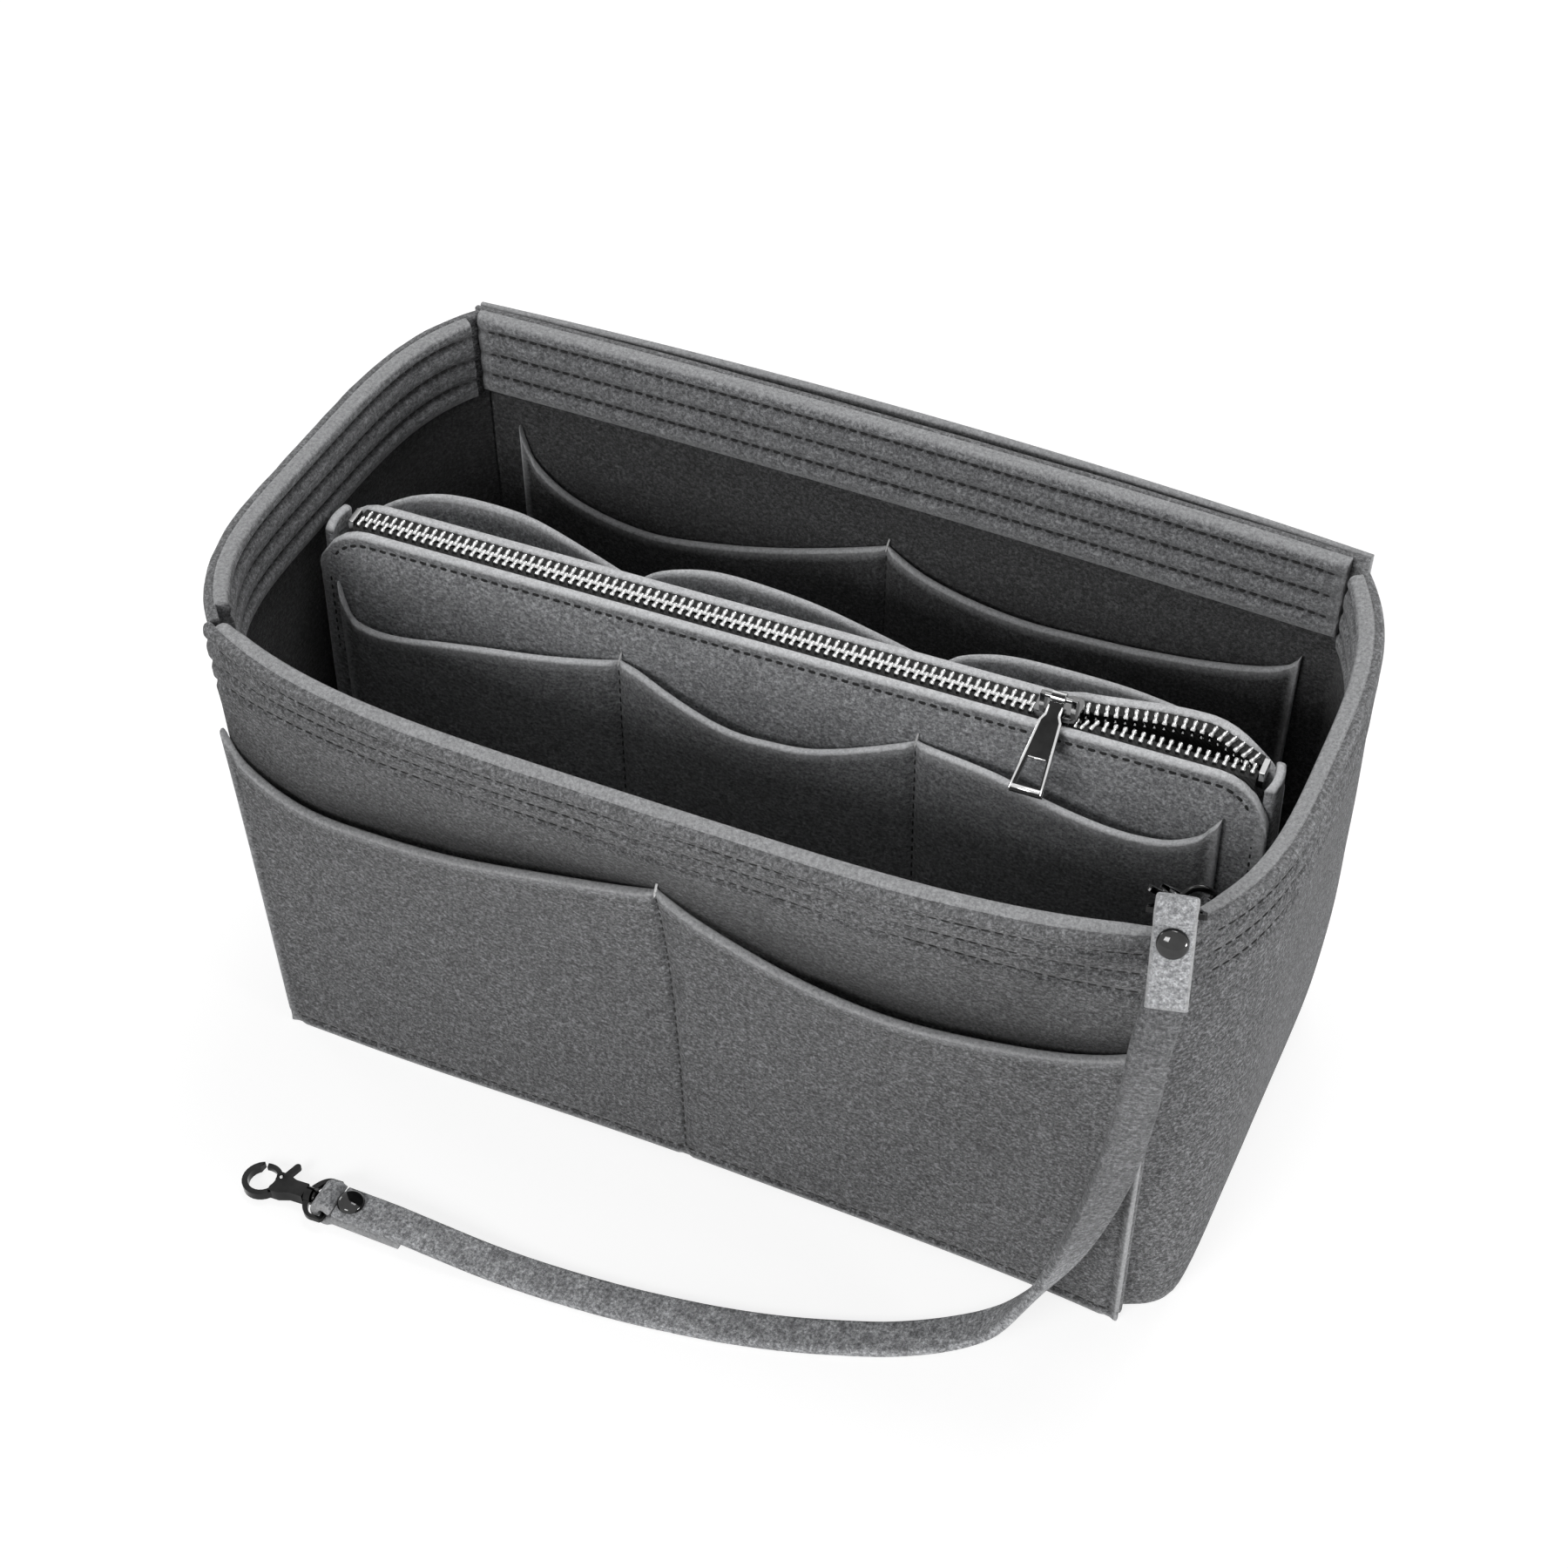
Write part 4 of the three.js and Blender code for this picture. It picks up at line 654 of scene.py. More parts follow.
def pocket(name, wall, seams, heights, scoops, shares, slack, bottom=0.0, power=2.0, gap=CLEAR, inward=False,
           material=FELT, seed=11, skew=1.0, step=3.0, dim=0.0, lift=None):
    """A pocket sewn at seams, with a scooped mouth between them. heights are its top's at the seams, scoops and
    shares the depth and form of each scoop, slack how far its mouth stands off the wall, dim a painted shade on its
    face."""
    unit = WALLS[wall][2]
    curves = [spline(q) for q in shares]
    seams = np.array(seams, float)
    slacks = np.broadcast_to(np.array(slack, float), (len(seams) - 1,))

    def which(s):
        return np.clip(np.searchsorted(seams, s, side="right") - 1, 0, len(seams) - 2)

    def along(s):
        i = which(s)
        return np.clip((s - seams[i]) / (seams[i + 1] - seams[i]), 0, 1)

    def top(s):
        i, a = which(s), along(s)
        h = np.array(heights, float)
        depth = np.zeros_like(a)
        for k, (x, y) in enumerate(curves):
            depth = np.where(i == k, np.interp(a, x, y), depth)
        return lerp(h[i], h[i + 1], a) - np.array(scoops, float)[i] * depth

    uneven = waves(seed)
    ends_at = [seams[0] + SEAM_IN / unit, seams[-1] - SEAM_IN / unit]

    def low_at(s):
        return bottom + (lift(s) if lift else 0 * s)

    def shift(s, z, t):
        a = along(s)
        rise = np.clip((z - bottom) / (t - bottom), 0, 1)
        away = slacks[which(s)] * np.sin(np.pi * a**skew) ** (0.75 if skew == 1 else 1.05) * rise**power
        away = away + 0.35 * uneven(s * unit, z) * np.sin(np.pi * a) * rise
        return -away if inward else away

    def outer(s, z):
        seam = sum(np.exp(-(((s - q) * unit / 1.3) ** 2)) for q in seams[1:-1])
        ends = sum(np.exp(-(((s - q) * unit / 1.3) ** 2)) for q in ends_at)
        low = np.exp(-(((z - low_at(s) - SEAM_IN) / 1.3) ** 2))
        return -PINCH * np.clip(seam + 0.7 * ends + low, 0, 1)

    d0, d1 = (-FELT_T - gap - POCKET_T, -FELT_T - gap) if inward else (gap, gap + POCKET_T)
    sheet(
        name, wall, seams[0], seams[-1], top, low_at, d0, d1, off=shift, dim=(dim, 0) if inward else (0, dim),
        inner=outer if inward else None, outer=None if inward else outer, seams=list(seams[1:-1]) + ends_at,
        rows_at=[bottom + q for q in ((3.0, 5.2, 7.2) if lift else (3.0,))], material=material, step=step,
    )
    face = d0 - 0.05 + PINCH if inward else d1 - PINCH + 0.05
    way = -1 if inward else 1
    for k, at in enumerate([ends_at[0], *seams[1:-1], ends_at[1]]):
        t = float(top(np.array([at]))[0])
        z = np.linspace(float(low_at(at)) + SEAM_IN, t - 2.5, 60)
        d = face + shift(np.full(60, at), z, np.full(60, t))
        stitch_row(f"{name}_felt_seam_{k + 1}", wall, np.full(60, at), z, d, way)
    s = np.linspace(*ends_at, 200)
    z = low_at(s) + SEAM_IN
    stitch_row(f"{name}_felt_low_seam", wall, s, z, face + shift(s, z, top(s)), way)
    # A light tack of thread over the edge at each inner seam
    for k, q in enumerate(seams[1:-1]):
        t = float(top(np.array([q]))[0])
        z = np.linspace(t - 2.2, t + 2.6, 8)
        d = np.where(z > t + 0.2, (-FELT_T - 0.1 if inward else 0.15), face + way * (PINCH * 0.6))
        stitch_row(f"{name}_felt_tack_{k + 1}", wall, np.full(8, q), z, d, way, pitch=5.0, length=4.4, width=1.0,
                   material=THREAD_LIGHT)


pocket("front_outer_pocket", "front", [-1, 0, 1], [121, 124, 121], [16, 16], [OUTER_L, OUTER_R], slack=4.0, seed=21,
       lift=lifted)

INNER_L = [[0, 0], [0.04, 0.55], [0.16, 0.92], [0.36, 1], [0.6, 0.74], [0.82, 0.35], [1, 0]]
INNER_R = [[0, 0], [0.12, 0.32], [0.34, 0.52], [0.6, 0.5], [0.86, 0.36], [0.97, 0.2], [1, 0]]
for wall, seed in (("back", 22), ("front", 23)):
    pocket(f"inner_{wall}_pocket", wall, [x / RIM_LENGTH for x in (-122, -3, 122)], [121, 115, 121], [22, 22],
           [INNER_L, INNER_R], slack=3.5, bottom=FELT_T + CLEAR, inward=True, material=FELT_INSIDE, seed=seed, dim=0.6)

BACK_TOP = 157


def back_off(s, z, t=BACK_TOP):
    """How far the back pocket's mouth stands off the wall."""
    return 3 * (1 - s * s) * (z / BACK_TOP) ** 2


sheet("back_outer_pocket", "back", -1, 1, BACK_TOP, 0, CLEAR, CLEAR + POCKET_T, off=back_off,
      outer=lambda s, z: -0.8 * np.exp(-(((z - 3) / 1.3) ** 2)), rows_at=[3.0])
for k, (s, z) in enumerate((
    (np.linspace(-0.975, 0.975, 200), np.full(200, 3.0)), (np.full(90, -0.977), np.linspace(3, 155, 90)),
    (np.full(90, 0.977), np.linspace(3, 155, 90)),
)):
    stitch_row(f"back_outer_pocket_stitches_{k + 1}", "back", s, z,
               CLEAR + POCKET_T + back_off(s, z) - (0.7 if k == 0 else 0))

# ---- pouch
for wall, seed in (("pouch_front", 30), ("pouch_rear", 32)):
    name, uneven = wall + "_panel", waves(seed)
    sheet(name, wall, -1, 1, lambda s: pouch_top(s * POUCH_HALF), 0.0, -FELT_T, 0.0,
          off=lambda s, z, t: 0.25 * uneven(s * 137, z) * (1 - smoothstep(z, 110, 130)),
          outer=lambda s, z: -0.45 * np.exp(-(((pouch_top(s * POUCH_HALF) - z - TOP_SEAM) / 1.1) ** 2)),
          rows_at=[POUCH_H - TOP_SEAM], material=FELT_POUCH)
    x = np.linspace(-POUCH_HALF + TOP_SEAM, POUCH_HALF - TOP_SEAM, 300)
    past = np.maximum(0, np.abs(x) - POUCH_HALF + TOP_CORNER)
    seam = POUCH_H - TOP_SEAM - rounding(TOP_CORNER - TOP_SEAM, past)
    stitch_row(name + "_top_stitches", wall, x / POUCH_HALF, seam, -0.4, pitch=3.1, length=2.2, width=1.0, lift=0.1)
    for q in (-1, 1):
        z = np.linspace(4, POUCH_H - 16, 80)
        stitch_row(f"{name}_end_stitches_{'l' if q < 0 else 'r'}", wall,
                   np.full(80, q * (1 - TOP_SEAM / POUCH_HALF)), z, -0.1, pitch=3.1, length=2.1)

# The gusset: a strip round the ends and the bottom
half, lean, gusset_t, gusset_half, gusset_top = POUCH_HALF, 1.5, 2.6, 5.35, 134.5
outline = [(-half + lean, gusset_top), (-half, 94.5), (-half, 30)]
outline += [(-half + 7 - 7 * math.cos(a), 7 - 7 * math.sin(a)) for a in np.linspace(0, math.pi / 2, 7)]
outline += [(x, 0.0) for x in np.linspace(-half + 20, half - 20, 24)]
outline += [(half - 7 + 7 * math.sin(a), 7 - 7 * math.cos(a)) for a in np.linspace(0, math.pi / 2, 7)]
outline = np.array(outline + [(half, 30), (half, 94.5), (half, gusset_top)])
run = np.concatenate([[0], np.cumsum(np.linalg.norm(np.diff(outline, axis=0), axis=1))])
q = np.unique(np.concatenate([EDGE, np.linspace(1.5, run[-1] - 1.5, 150), run[-1] - EDGE]))
line = np.stack([np.interp(q, run, outline[:, i]) for i in range(2)], 1)
tangent = np.gradient(line, axis=0)
tangent /= np.linalg.norm(tangent, axis=1, keepdims=True)
inside = np.stack([-tangent[:, 1], tangent[:, 0]], 1)
wide = np.linspace(-1, 1, 7)
reach = np.minimum(q, run[-1] - q)
inset = EDGE[-1] * rounding(1, 1 - np.clip(reach / EDGE[-1], 0, 1))
outer_face, inner_face = [], []
for i in range(len(q)):
    bulge = 0.9 * np.maximum(0, 1 - wide**2) * smoothstep(line[i, 1], 5, 40)
    for w, b in zip(wide, bulge):
        o = line[i] + inside[i] * (inset[i] - b)
        r = line[i] + inside[i] * (gusset_t - inset[i] - b)
        outer_face.append((o[0], w * gusset_half, o[1]))
        inner_face.append((r[0], w * gusset_half, r[1]))
points = in_world(np.array(outer_face + inner_face))
faces = outward(points, slab_faces(len(q), len(wide)))
edge = np.repeat(np.clip((1.3 - reach) / 0.5, 0, 1), len(wide))
piece("pouch_gusset_felt", points, faces, FELT_POUCH, "pouch", ["pouch_gusset"], edge=np.concatenate([edge, edge]))

POUCH_FRONT = [
    [[0, 0], [0.02, 0.6], [0.05, 0.94], [0.1, 1], [0.17, 0.97], [0.28, 0.8], [0.38, 0.6], [0.57, 0.31], [0.75, 0.16],
     [1, 0]],
    [[0, 0], [0.07, 0.05], [0.17, 0.38], [0.26, 0.65], [0.35, 0.88], [0.44, 1], [0.53, 0.98], [0.65, 0.93], [0.76, 0.7],
     [0.87, 0.38], [1, 0]],
    [[0, 0], [0.16, -0.08], [0.31, 0.02], [0.46, 0.4], [0.57, 0.66], [0.69, 0.9], [0.8, 1], [0.87, 0.94], [0.94, 0.67],
     [0.97, 0.35], [1, 0]],
]
pocket("pouch_front_pocket", "pouch_front", [x / POUCH_HALF for x in (-131, -44.5, 42, 126)], [120, 120, 121.3, 124],
       [12.6, 9.5, 9.5], POUCH_FRONT, slack=6.0, seed=24, step=2.2, dim=0.3, material=FELT_POUCH)
REAR = [[0, 0], [0.12, 0.6], [0.35, 1], [0.7, 0.7], [1, 0]]
pocket("pouch_rear_pocket", "pouch_rear_soft", [x / POUCH_HALF for x in (-129, -48, 41, 127)], [129, 130, 130, 129],
       [5, 5, 5], [REAR] * 3, slack=[20.0, 16.0, 14.5], power=1.6, gap=0.6, seed=25, skew=0.62, step=2.2, dim=0.85,
       material=FELT_POUCH)

# ---- zip
CHAIN_TOP = POUCH_H + 0.7
CHAIN_H, PITCH, TAPE_DOWN = 3.0, 2.5, 12
# A tooth's sections: out from the row, half width, height
TOOTH = [(-0.75, 0.5, 0.7), (-0.5, 0.72, 0.96), (0.25, 0.74, 1.0), (0.7, 0.56, 0.9), (1.2, 0.56, 0.95),
         (1.7, 0.68, 1.05), (2.4, 0.72, 1.05), (2.7, 0.55, 0.85)]
TOOTH_SIDES = 8


def tooth(x, side, points, faces):
    """One tooth: a clamp on the tape's edge, a neck and a rounded head that reaches over the middle line."""
    part = float(row_part(side, x))
    turn = math.atan(float(row_part(side, x + 0.5)) - float(row_part(side, x - 0.5)))
    stretch = min(1.2, (4.4 - part) / TOOTH[-1][0]) if side < 0 else 1.2
    base = len(points)
    for y, w, h in TOOTH:
        y = y * stretch if y > 0 else y
        for j in range(TOOTH_SIDES):
            a = 2 * math.pi * (j + 0.5) / TOOTH_SIDES
            cx, cz = math.cos(a), math.sin(a)
            px = w * math.copysign(abs(cx) ** 0.6, cx)
            pz = 1.42 * h * math.copysign(abs(cz) ** 0.6, cz)
            qx = px * math.cos(turn) - side * y * math.sin(turn)
            qy = y + side * px * math.sin(turn)
            points.append((x + qx, side * (part + qy), CHAIN_TOP - CHAIN_H / 2 + pz))
    faces += tube_faces(len(TOOTH), TOOTH_SIDES, base, turned=True)


for end, side in (("front", -1), ("rear", 1)):
    points, faces = [], []
    x = CHAIN_FROM + PITCH * (0.75 if side > 0 else 0.25) + 0.5
    while x < CHAIN_TO - 0.6:
        tooth(x, side, points, faces)
        x += PITCH
    world = in_world(np.array(points))
    piece(f"zip_teeth_{end}_metal", world, outward(world, faces), SILVER, "pouch", ["zip_teeth_" + end], slot="silver")

    xs = np.concatenate([np.linspace(CHAIN_FROM, SLIDER_AT - 8, 60), np.linspace(SLIDER_AT - 7, CHAIN_TO, 60)])
    level = CHAIN_TOP - CHAIN_H / 2 - 0.5
    wall = WALLS["pouch_" + end][0]
    rings = []
    for x in xs:
        bead = 0.9 + float(row_part(side, x))
        top_in = wall(x / POUCH_HALF, np.float64(level))[1] * side - FELT_T - 0.1
        low_in = wall(x / POUCH_HALF, np.float64(level - TAPE_DOWN))[1] * side - FELT_T - 0.15
        rings.append([(x, side * y, z) for y, z in (
            (bead, level + 0.75), (bead + 2, level + 0.6), (top_in, level + 0.5), (low_in, level - TAPE_DOWN),
            (low_in - 0.5, level - TAPE_DOWN), (top_in - 0.5, level), (bead + 2, level), (bead, level + 0.15),
        )])
    points = in_world(np.array(rings).reshape(-1, 3))
    faces = outward(points, tube_faces(len(rings), len(rings[0]), turned=True))
    piece(f"zip_tape_{end}_woven", points, faces, TAPE, "pouch", ["zip_tape_" + end], slot="tape", smooth=False)


# ---- hard parts: the frame's own solids, with eased edges
def eased(node, material, body, width, angle=28):
    """A copy of the frame's solid with bevels of this width on edges sharper than angle."""
    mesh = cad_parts[node].data.copy()
    mesh.materials.clear()
    mesh.materials.append(material)
    made = placed(node + "_metal", mesh)
    work = bmesh.new()
    work.from_mesh(mesh)
    bmesh.ops.remove_doubles(work, verts=work.verts, dist=2e-6)
    bmesh.ops.dissolve_limit(work, angle_limit=math.radians(1.5), verts=work.verts, edges=work.edges)
    sharp = [e for e in work.edges if e.is_manifold and e.calc_face_angle(0) > math.radians(angle)]
    bmesh.ops.bevel(work, geom=sharp, offset=width * MM, segments=2, profile=0.6, affect="EDGES", clamp_overlap=True)
    work.to_mesh(mesh)
    work.free()
    mesh.shade_smooth()
    modifier = made.modifiers.new("normals", "WEIGHTED_NORMAL")
    modifier.keep_sharp = True
    modifier.weight = 70
    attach(made, body)
    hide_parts(node)
    return made


made = {}
for node, material, body, width in (
    ("slider_body", CHROME, "zip_slider", 0.22), ("slider_crown", CHROME, "zip_slider", 0.2),
    ("zip_pull", NICKEL, "pull", 0.16), ("upper_clasp_bail", CLASP, "body", 0.25),
    ("upper_clasp_hook", CLASP, "body", 0.25), ("upper_clasp_lever", CLASP, "upper_lever", 0.2),
    ("far_clasp_bail", CLASP, "body", 0.32), ("far_clasp_hook", CLASP, "far_hook", 0.4),
    ("far_clasp_lever", CLASP, "far_lever", 0.2),
):
    made[node] = eased(node, material, body, width)
pull = made["zip_pull"]
pivot = np.array([74.462, 4.261, 144.8])  # on the pull's hinge line, which runs along pull_across
spots = np.array([tuple(v.co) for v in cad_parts["zip_pull"].data.vertices]) / MM
reach = np.linalg.norm(spots - pivot, axis=1)
pull_way = spots[reach > reach.max() - 1.5].mean(0) - pivot
pull_way /= np.linalg.norm(pull_way)
pull_across = np.array([0.999194, 0.040132, 0.0])
pull_face = np.cross(pull_across, pull_way)
pull_face *= -1 if pull_face[1] > 0 else 1
pull.data.materials.append(BRIGHT)
for polygon in pull.data.polygons:
    polygon.material_index = 0 if abs(polygon.normal.dot(Vector(pull_face))) > 0.96 else 1

for node, body in (("zip_left_stop", "pouch"), ("zip_right_stop", "pouch"), ("upper_clasp_pin", "body"),
                   ("far_clasp_pin", "far_hook")):
    made[node] = eased(node, SILVER, body, 0.15)
eased("d_ring", NICKEL, "body", 0.1, angle=80)


def lathe(name, profile, at, axis, body, node, material, sides=48):
    """A turned piece: profile is its (radius, height) along the axis."""
    axis = Vector(axis).normalized()
    turn = Vector((0, 0, 1)).rotation_difference(axis)
    points = []
    for r, h in profile:
        for j in range(sides):
            a = 2 * math.pi * j / sides
            points.append(tuple(turn @ Vector((r * math.cos(a), r * math.sin(a), h)) + Vector(at)))
    faces = outward(points, tube_faces(len(profile), sides))
    return piece(name, points, faces, material, body, [node], slot="black_nickel")


FOOT_AT, FOOT_SIDES = 26.4, 12
foot = pivot + pull_way * FOOT_AT
bar = []
for x, r in ((-4.2, 0.3), (-4.05, 0.75), (-3.7, 0.95), (3.7, 0.95), (4.05, 0.75), (4.2, 0.3)):
    for a in np.linspace(0, 2 * np.pi, FOOT_SIDES + 1)[:-1]:
        bar.append(foot + pull_across * x + pull_way * r * math.cos(a) + pull_face * (0.1 + r * math.sin(a)))
faces = outward(bar, tube_faces(len(bar) // FOOT_SIDES, FOOT_SIDES, turned=True))
piece("zip_pull_foot", bar, faces, BRIGHT, "pull", slot="black_nickel")


def wire(name, path, radius, sides=10):
    """A bright rolled rim on the pull, along a path of points."""
    points = []
    for i, at in enumerate(path):
        along = path[min(i + 1, len(path) - 1)] - path[max(i - 1, 0)]
        along /= np.linalg.norm(along)
        wide = np.cross(along, pull_face)
        wide /= np.linalg.norm(wide)
        thin = radius * (0.5 if i in (0, len(path) - 1) else 1.0)
        for a in np.linspace(0, 2 * np.pi, sides + 1)[:-1]:
            points.append(at + thin * (wide * math.cos(a) + pull_face * math.sin(a)))
    piece(name, points, outward(points, tube_faces(len(path), sides, turned=True)), BRIGHT, "pull", slot="black_nickel")


for end, sign in (("left", -1), ("right", 1)):
    knots = [(2.6, 1.8), (2.8, 1.85), (5.4, 1.85), (7.0, 2.72), (17.0, 3.5), (27.0, 4.25), (27.2, 4.25)]
    wire("zip_pull_rim_" + end,
         [pivot + pull_way * d + pull_across * sign * x + pull_face * 0.42 for d, x in knots], 0.42)
wire("zip_pull_window_sill",
     [pivot + pull_way * 17.6 + pull_across * x + pull_face * 0.5 for x in (-2.4, -2.3, 2.3, 2.4)], 0.28)


# ---- strap
def unit(*v):
    v = np.array(v, float)
    return v / np.linalg.norm(v)


STRAP_W, STRAP_T, FOLD_R, RIVET_AT, CAP_R, TAIL = 10.3, 2.8, 3.0, 6.4, 3.95, 23.6
UPPER_BAR, FAR_BAR = np.array([133.7, -75.3, 168.4]), np.array([-82.3, -129.3, 4.5])
TAB_UP, FAR_ALONG = unit(-3.5, 12, 25), unit(-26, -0.2, 0)
BAR_ACROSS = np.array([math.cos(math.radians(13)), math.sin(math.radians(13)), 0])
UPPER_FRONT = unit(*np.cross(BAR_ACROSS, TAB_UP))
DOWN = np.array([0, 0, -1.0])
FAR_ACROSS = unit(*np.cross(FAR_ALONG, DOWN))
FOLD_CLEAR, CAP_CLEAR = (STRAP_T + CLEAR) / 2, RIVET_AT - CAP_R - CLEAR
ROUTE = [
    [134.4, -87.4, 132, 14], [133.4, -87.6, 116, 16], [131.5, -87, 99, 20], [129, -86.8, 82, 26],
    [125.3, -86.8, 65, 34], [120.8, -87.2, 48, 46], [115.8, -88, 33, 60], [109.3, -89.8, 19.5, 76],
    [101.8, -92.6, 9, 90], [92, -97, 3.6, 102], [78, -104.2, 1.8, 111], [64, -110, 1.6, 111], [49.2, -115.2, 1.6, 107],
    [33, -119.5, 1.6, 103], [17, -122.6, 1.6, 100], [2.2, -124.8, 1.6, 97], [-18.5, -126.8, 1.8, 95],
    [-34, -128.2, 3.2, 94], [-48, -129, 5, 92],
]


def catmull(points, steps):
    """Centripetal Catmull-Rom through the points, with the end points mirrored on."""
    p = np.array(points, float)
    p = np.concatenate([[2 * p[0] - p[1]], p, [2 * p[-1] - p[-2]]])
    out, where = [], []
    for i in range(1, len(p) - 2):
        p0, p1, p2, p3 = p[i - 1], p[i], p[i + 1], p[i + 2]
        d0, d1, d2 = (max(np.linalg.norm(b - a) ** 0.5, 1e-4) for a, b in ((p0, p1), (p1, p2), (p2, p3)))
        t1 = ((p1 - p0) / d0 - (p2 - p0) / (d0 + d1) + (p2 - p1) / d1) * d1
        t2 = ((p2 - p1) / d1 - (p3 - p1) / (d1 + d2) + (p3 - p2) / d2) * d1
        for k in range(steps):
            out.append(hermite(p1, p2, t1, t2, k / steps))
            where.append(i - 1 + k / steps)
    out.append(p[-2])
    where.append(len(p) - 3)
    return np.array(out), np.array(where)


def ribbon(name, at, across, width, thick, body, nodes, material, crown=0.12, shade=None):
    """A flat band with rounded edges. at and across are arrays along it."""
    r = 0.8
    half_w, half_t = width / 2, thick / 2
    section = []
    for sx, sy, start in ((1, 1, 0), (-1, 1, 90), (-1, -1, 180), (1, -1, 270)):
        for a in np.radians([0, 30, 60, 90]):
            b = a + math.radians(start)
            section.append((sx * (half_w - r) + r * math.cos(b), sy * (half_t - r) + r * math.sin(b)))
        if start in (0, 180):
            for q in (0.6, 0.2, -0.2, -0.6):
                x = q * (half_w - r) * (1 if start == 0 else -1)
                section.append((x, (half_t + crown * (1 - q * q)) * sy))
    points, edge = [], []
    for i in range(len(at)):
        along = at[min(i + 1, len(at) - 1)] - at[max(i - 1, 0)]
        along = along / np.linalg.norm(along)
        wide = across[i] - along * np.dot(along, across[i])
        wide /= np.linalg.norm(wide)
        face = np.cross(along, wide)
        narrow, squeeze = (0.97, 0.55) if i in (0, len(at) - 1) else (1.0, 1.0)
        for x, y in section:
            points.append(at[i] + wide * x * narrow + face * y * squeeze)
            edge.append(1.0 if i in (0, 1, len(at) - 2, len(at) - 1) or abs(x) > half_w - 0.75 else 0.0)
    faces = outward(points, tube_faces(len(at), len(section)))
    values = {"edge": edge} if shade is None else {"shade": np.repeat(shade, len(section))}
    return piece(name, points, faces, material, body, nodes, **values)


def fold_path(bar, back_way, tail_side):
    def at(down, off):
        return bar + back_way * down + tail_side * off

    line = [at(TAIL, FOLD_CLEAR), at(TAIL - 0.25, FOLD_CLEAR)]
    line += [at(q, FOLD_CLEAR) for q in np.linspace(TAIL - 1.2, CAP_CLEAR + 0.6, 14)]
    ease = [(CAP_CLEAR, FOLD_CLEAR + 0.15), (1.2, 2.3), (0.5, 2.82)]
    line += [at(*q) for q in ease]
    line += [at(-FOLD_R * math.sin(a), FOLD_R * math.cos(a)) for a in np.linspace(0.12, math.pi - 0.12, 14)]
    line += [at(0.5, -2.82), at(1.2, -2.3), at(CAP_CLEAR - 0.2, -FOLD_CLEAR - 0.2), at(CAP_CLEAR, -FOLD_CLEAR - 0.1)]
    return np.array(line)


def near_bar(bar, back_way, side, distance):
    return bar + back_way * distance - side * FOLD_CLEAR


own = [CAP_CLEAR + 0.6, RIVET_AT, RIVET_AT + CAP_R, TAIL * 0.8]
first = [near_bar(UPPER_BAR, -TAB_UP, UPPER_FRONT, d) for d in own]
last = [near_bar(FAR_BAR, -FAR_ALONG, DOWN, d) for d in reversed(own)]
turns = np.radians([ROUTE[0][3]] * 4 + [q[3] for q in ROUTE] + [ROUTE[-1][3]] * 4)
line, where = catmull(first + [np.array(q[:3], float) for q in ROUTE] + last, 8)
turn = np.interp(where, np.arange(len(turns)), turns)
across = np.stack([np.cos(turn), np.sin(turn), np.zeros_like(turn)], 1)
# The strap's hanging part gets a painted shade, growing from where it leaves the floor.
strap = ribbon("key_strap_felt", line, across, STRAP_W, STRAP_T, "body", ["key_strap"], FELT_STRAP,
               shade=0.85 * smoothstep(line[:, 2], 8, 60))

# The upper fold, in the strap's felt painted lighter: painted light.
path = fold_path(UPPER_BAR, -TAB_UP, UPPER_FRONT)
ribbon("strap_upper_fold_felt", path, np.tile(BAR_ACROSS, (len(path), 1)), STRAP_W, STRAP_T, "body",
       ["strap_upper_fold"], FELT_STRAP_PAINTED_LIGHT)
path = fold_path(FAR_BAR, -FAR_ALONG, DOWN)
far_fold = ribbon("strap_far_fold_felt", path, np.tile(FAR_ACROSS, (len(path), 1)), STRAP_W, STRAP_T, "body",
                  ["strap_far_fold"], FELT_STRAP)

HALF_STACK = (2 * STRAP_T + 3 * CLEAR) / 2
dome = [(CAP_R * 0.97, 0.0), (CAP_R, 0.14), (CAP_R * 0.985, 0.3)]
dome += [(CAP_R * math.cos(a) * 0.97, 0.35 + 1.75 * math.sin(a)) for a in np.linspace(0.06, math.pi / 2 - 0.04, 14)]
post = [(3.2, -HALF_STACK - 0.8), (3.4, -HALF_STACK - 0.6), (3.4, -HALF_STACK), (1.3, -HALF_STACK),
        (1.3, HALF_STACK - 0.15)]
for name, bar, way, out in (("upper", UPPER_BAR, -TAB_UP, UPPER_FRONT), ("far", FAR_BAR, -FAR_ALONG, -DOWN)):
    at = bar + way * RIVET_AT
    shell = [(r, h + HALF_STACK) for r, h in dome]
    cap = lathe(name + "_rivet_cap_metal", shell, at, out, "body", name + "_rivet_cap", CHROME_DARK)
    stem = lathe(name + "_rivet_post_metal", post, at, out, "body", name + "_rivet_post", NICKEL)

strap_line = [tuple(p * MM) for p in line]
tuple(strap_line[0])

# The D-ring's loop: a narrow felt band, also the frame's own solid with eased edges
eased("d_ring_loop", FELT_INSIDE, "body", 0.2, angle=40)


# ---- stage and light
FILL = 0.25  # the world's level on the object, where the background's is 1
FLOOR_GLOW, GLOW_SHARE, FLOOR_LEVEL, FLOOR_HALF = 1.3, 0.62, 0.86, 6
SHOWS = ("Is Camera Ray", "Is Glossy Ray", "Is Transmission Ray")


def either(tree, rays, *outputs):
    """The larger of a Light Path's outputs, as a node and its socket."""
    found = rays.outputs[outputs[0]]
    for name in outputs[1:]:
        most = tree.nodes.new("ShaderNodeMath")
        most.operation = "MAXIMUM"
        tree.links.new(found, most.inputs[0])
        tree.links.new(rays.outputs[name], most.inputs[1])
        found = most.outputs[0]
    return found


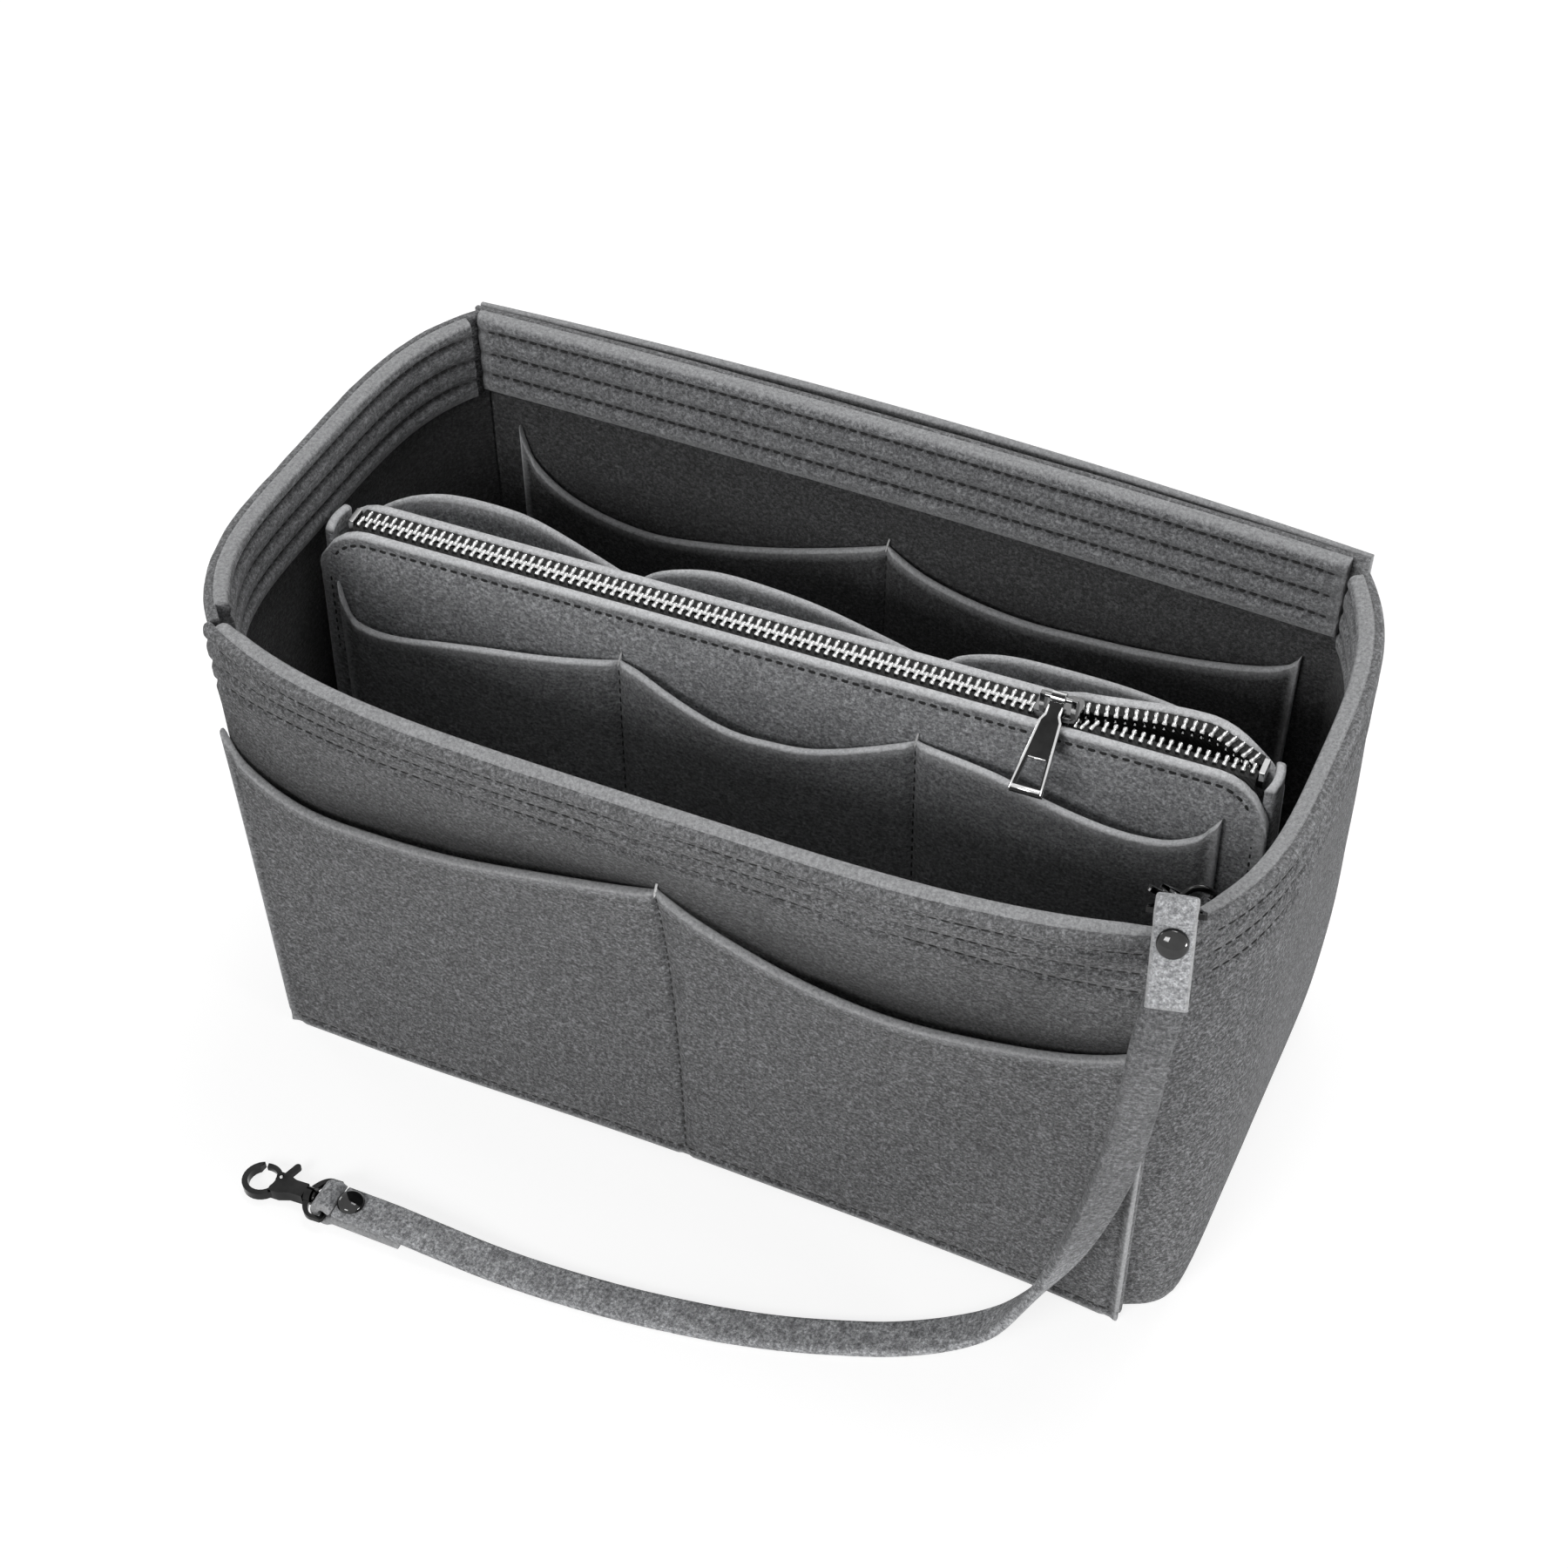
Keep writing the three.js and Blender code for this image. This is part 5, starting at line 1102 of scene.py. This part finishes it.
def stage_material(name, level):
    n = Nodes(name, Base_Color=(level, level, level, 1), Roughness=0.9)
    glow = n.add("ShaderNodeEmission")
    put(glow, Strength=FLOOR_GLOW)
    mixed = n.add("ShaderNodeMixShader")
    rays = n.add("ShaderNodeLightPath")
    share = n.add("ShaderNodeMath", operation="MULTIPLY")
    share.inputs[1].default_value = GLOW_SHARE
    n.tree.links.new(either(n.tree, rays, *SHOWS), share.inputs[0])
    n.link(share, 0, mixed, "Fac")
    n.link(n.shader, 0, mixed, 1)
    n.link(glow, 0, mixed, 2)
    n.link(mixed, 0, n.output, "Surface")
    return n.material


floor_mesh = bpy.data.meshes.new("floor")
corners = [(x * FLOOR_HALF, y * FLOOR_HALF, 0) for x, y in ((-1, -1), (1, -1), (1, 1), (-1, 1))]
floor_mesh.from_pydata(corners, [], [(0, 1, 2, 3)])
floor_mesh.materials.append(stage_material("floor", FLOOR_LEVEL))
floor = placed("floor", floor_mesh)

world = bpy.data.worlds.new("world")
bpy.context.scene.world = world
world.use_nodes = True
tree = world.node_tree
sky = tree.nodes["Background"]
sky.inputs[0].default_value = (1, 1, 1, 1)
rays = tree.nodes.new("ShaderNodeLightPath")
seen = tree.nodes.new("ShaderNodeMath")
seen.operation = "MULTIPLY_ADD"
seen.inputs[1].default_value = 1 - FILL
seen.inputs[2].default_value = FILL
tree.links.new(either(tree, rays, *SHOWS), seen.inputs[0])
tree.links.new(seen.outputs[0], sky.inputs[1])


def area(name, at, target, size, watts):
    data = bpy.data.lights.new(name, "AREA")
    data.shape = "RECTANGLE"
    data.size, data.size_y = size
    data.energy = watts
    lamp = placed(name, data)
    lamp.location = at
    lamp.rotation_euler = (Vector(target) - Vector(at)).to_track_quat("-Z", "Y").to_euler()


area("front", (-0.35, -1.7, 1.1), (0, 0, 0.1), (0.8, 0.6), 15)
area("side", (1.95, -0.35, 0.16), (0.1, 0, 0.08), (0.6, 0.2), 22)
area("top", (0.1, 0.45, 1.8), (0, 0, 0.1), (0.8, 0.6), 10)
area("back", (0.3, 1.8, 0.75), (0, 0, 0.1), (0.6, 0.4), 7)
area("left", (-1.8, 0.5, 0.6), (0, 0, 0.08), (0.5, 0.4), 4)

bpy.context.scene.view_settings.view_transform = "Standard"
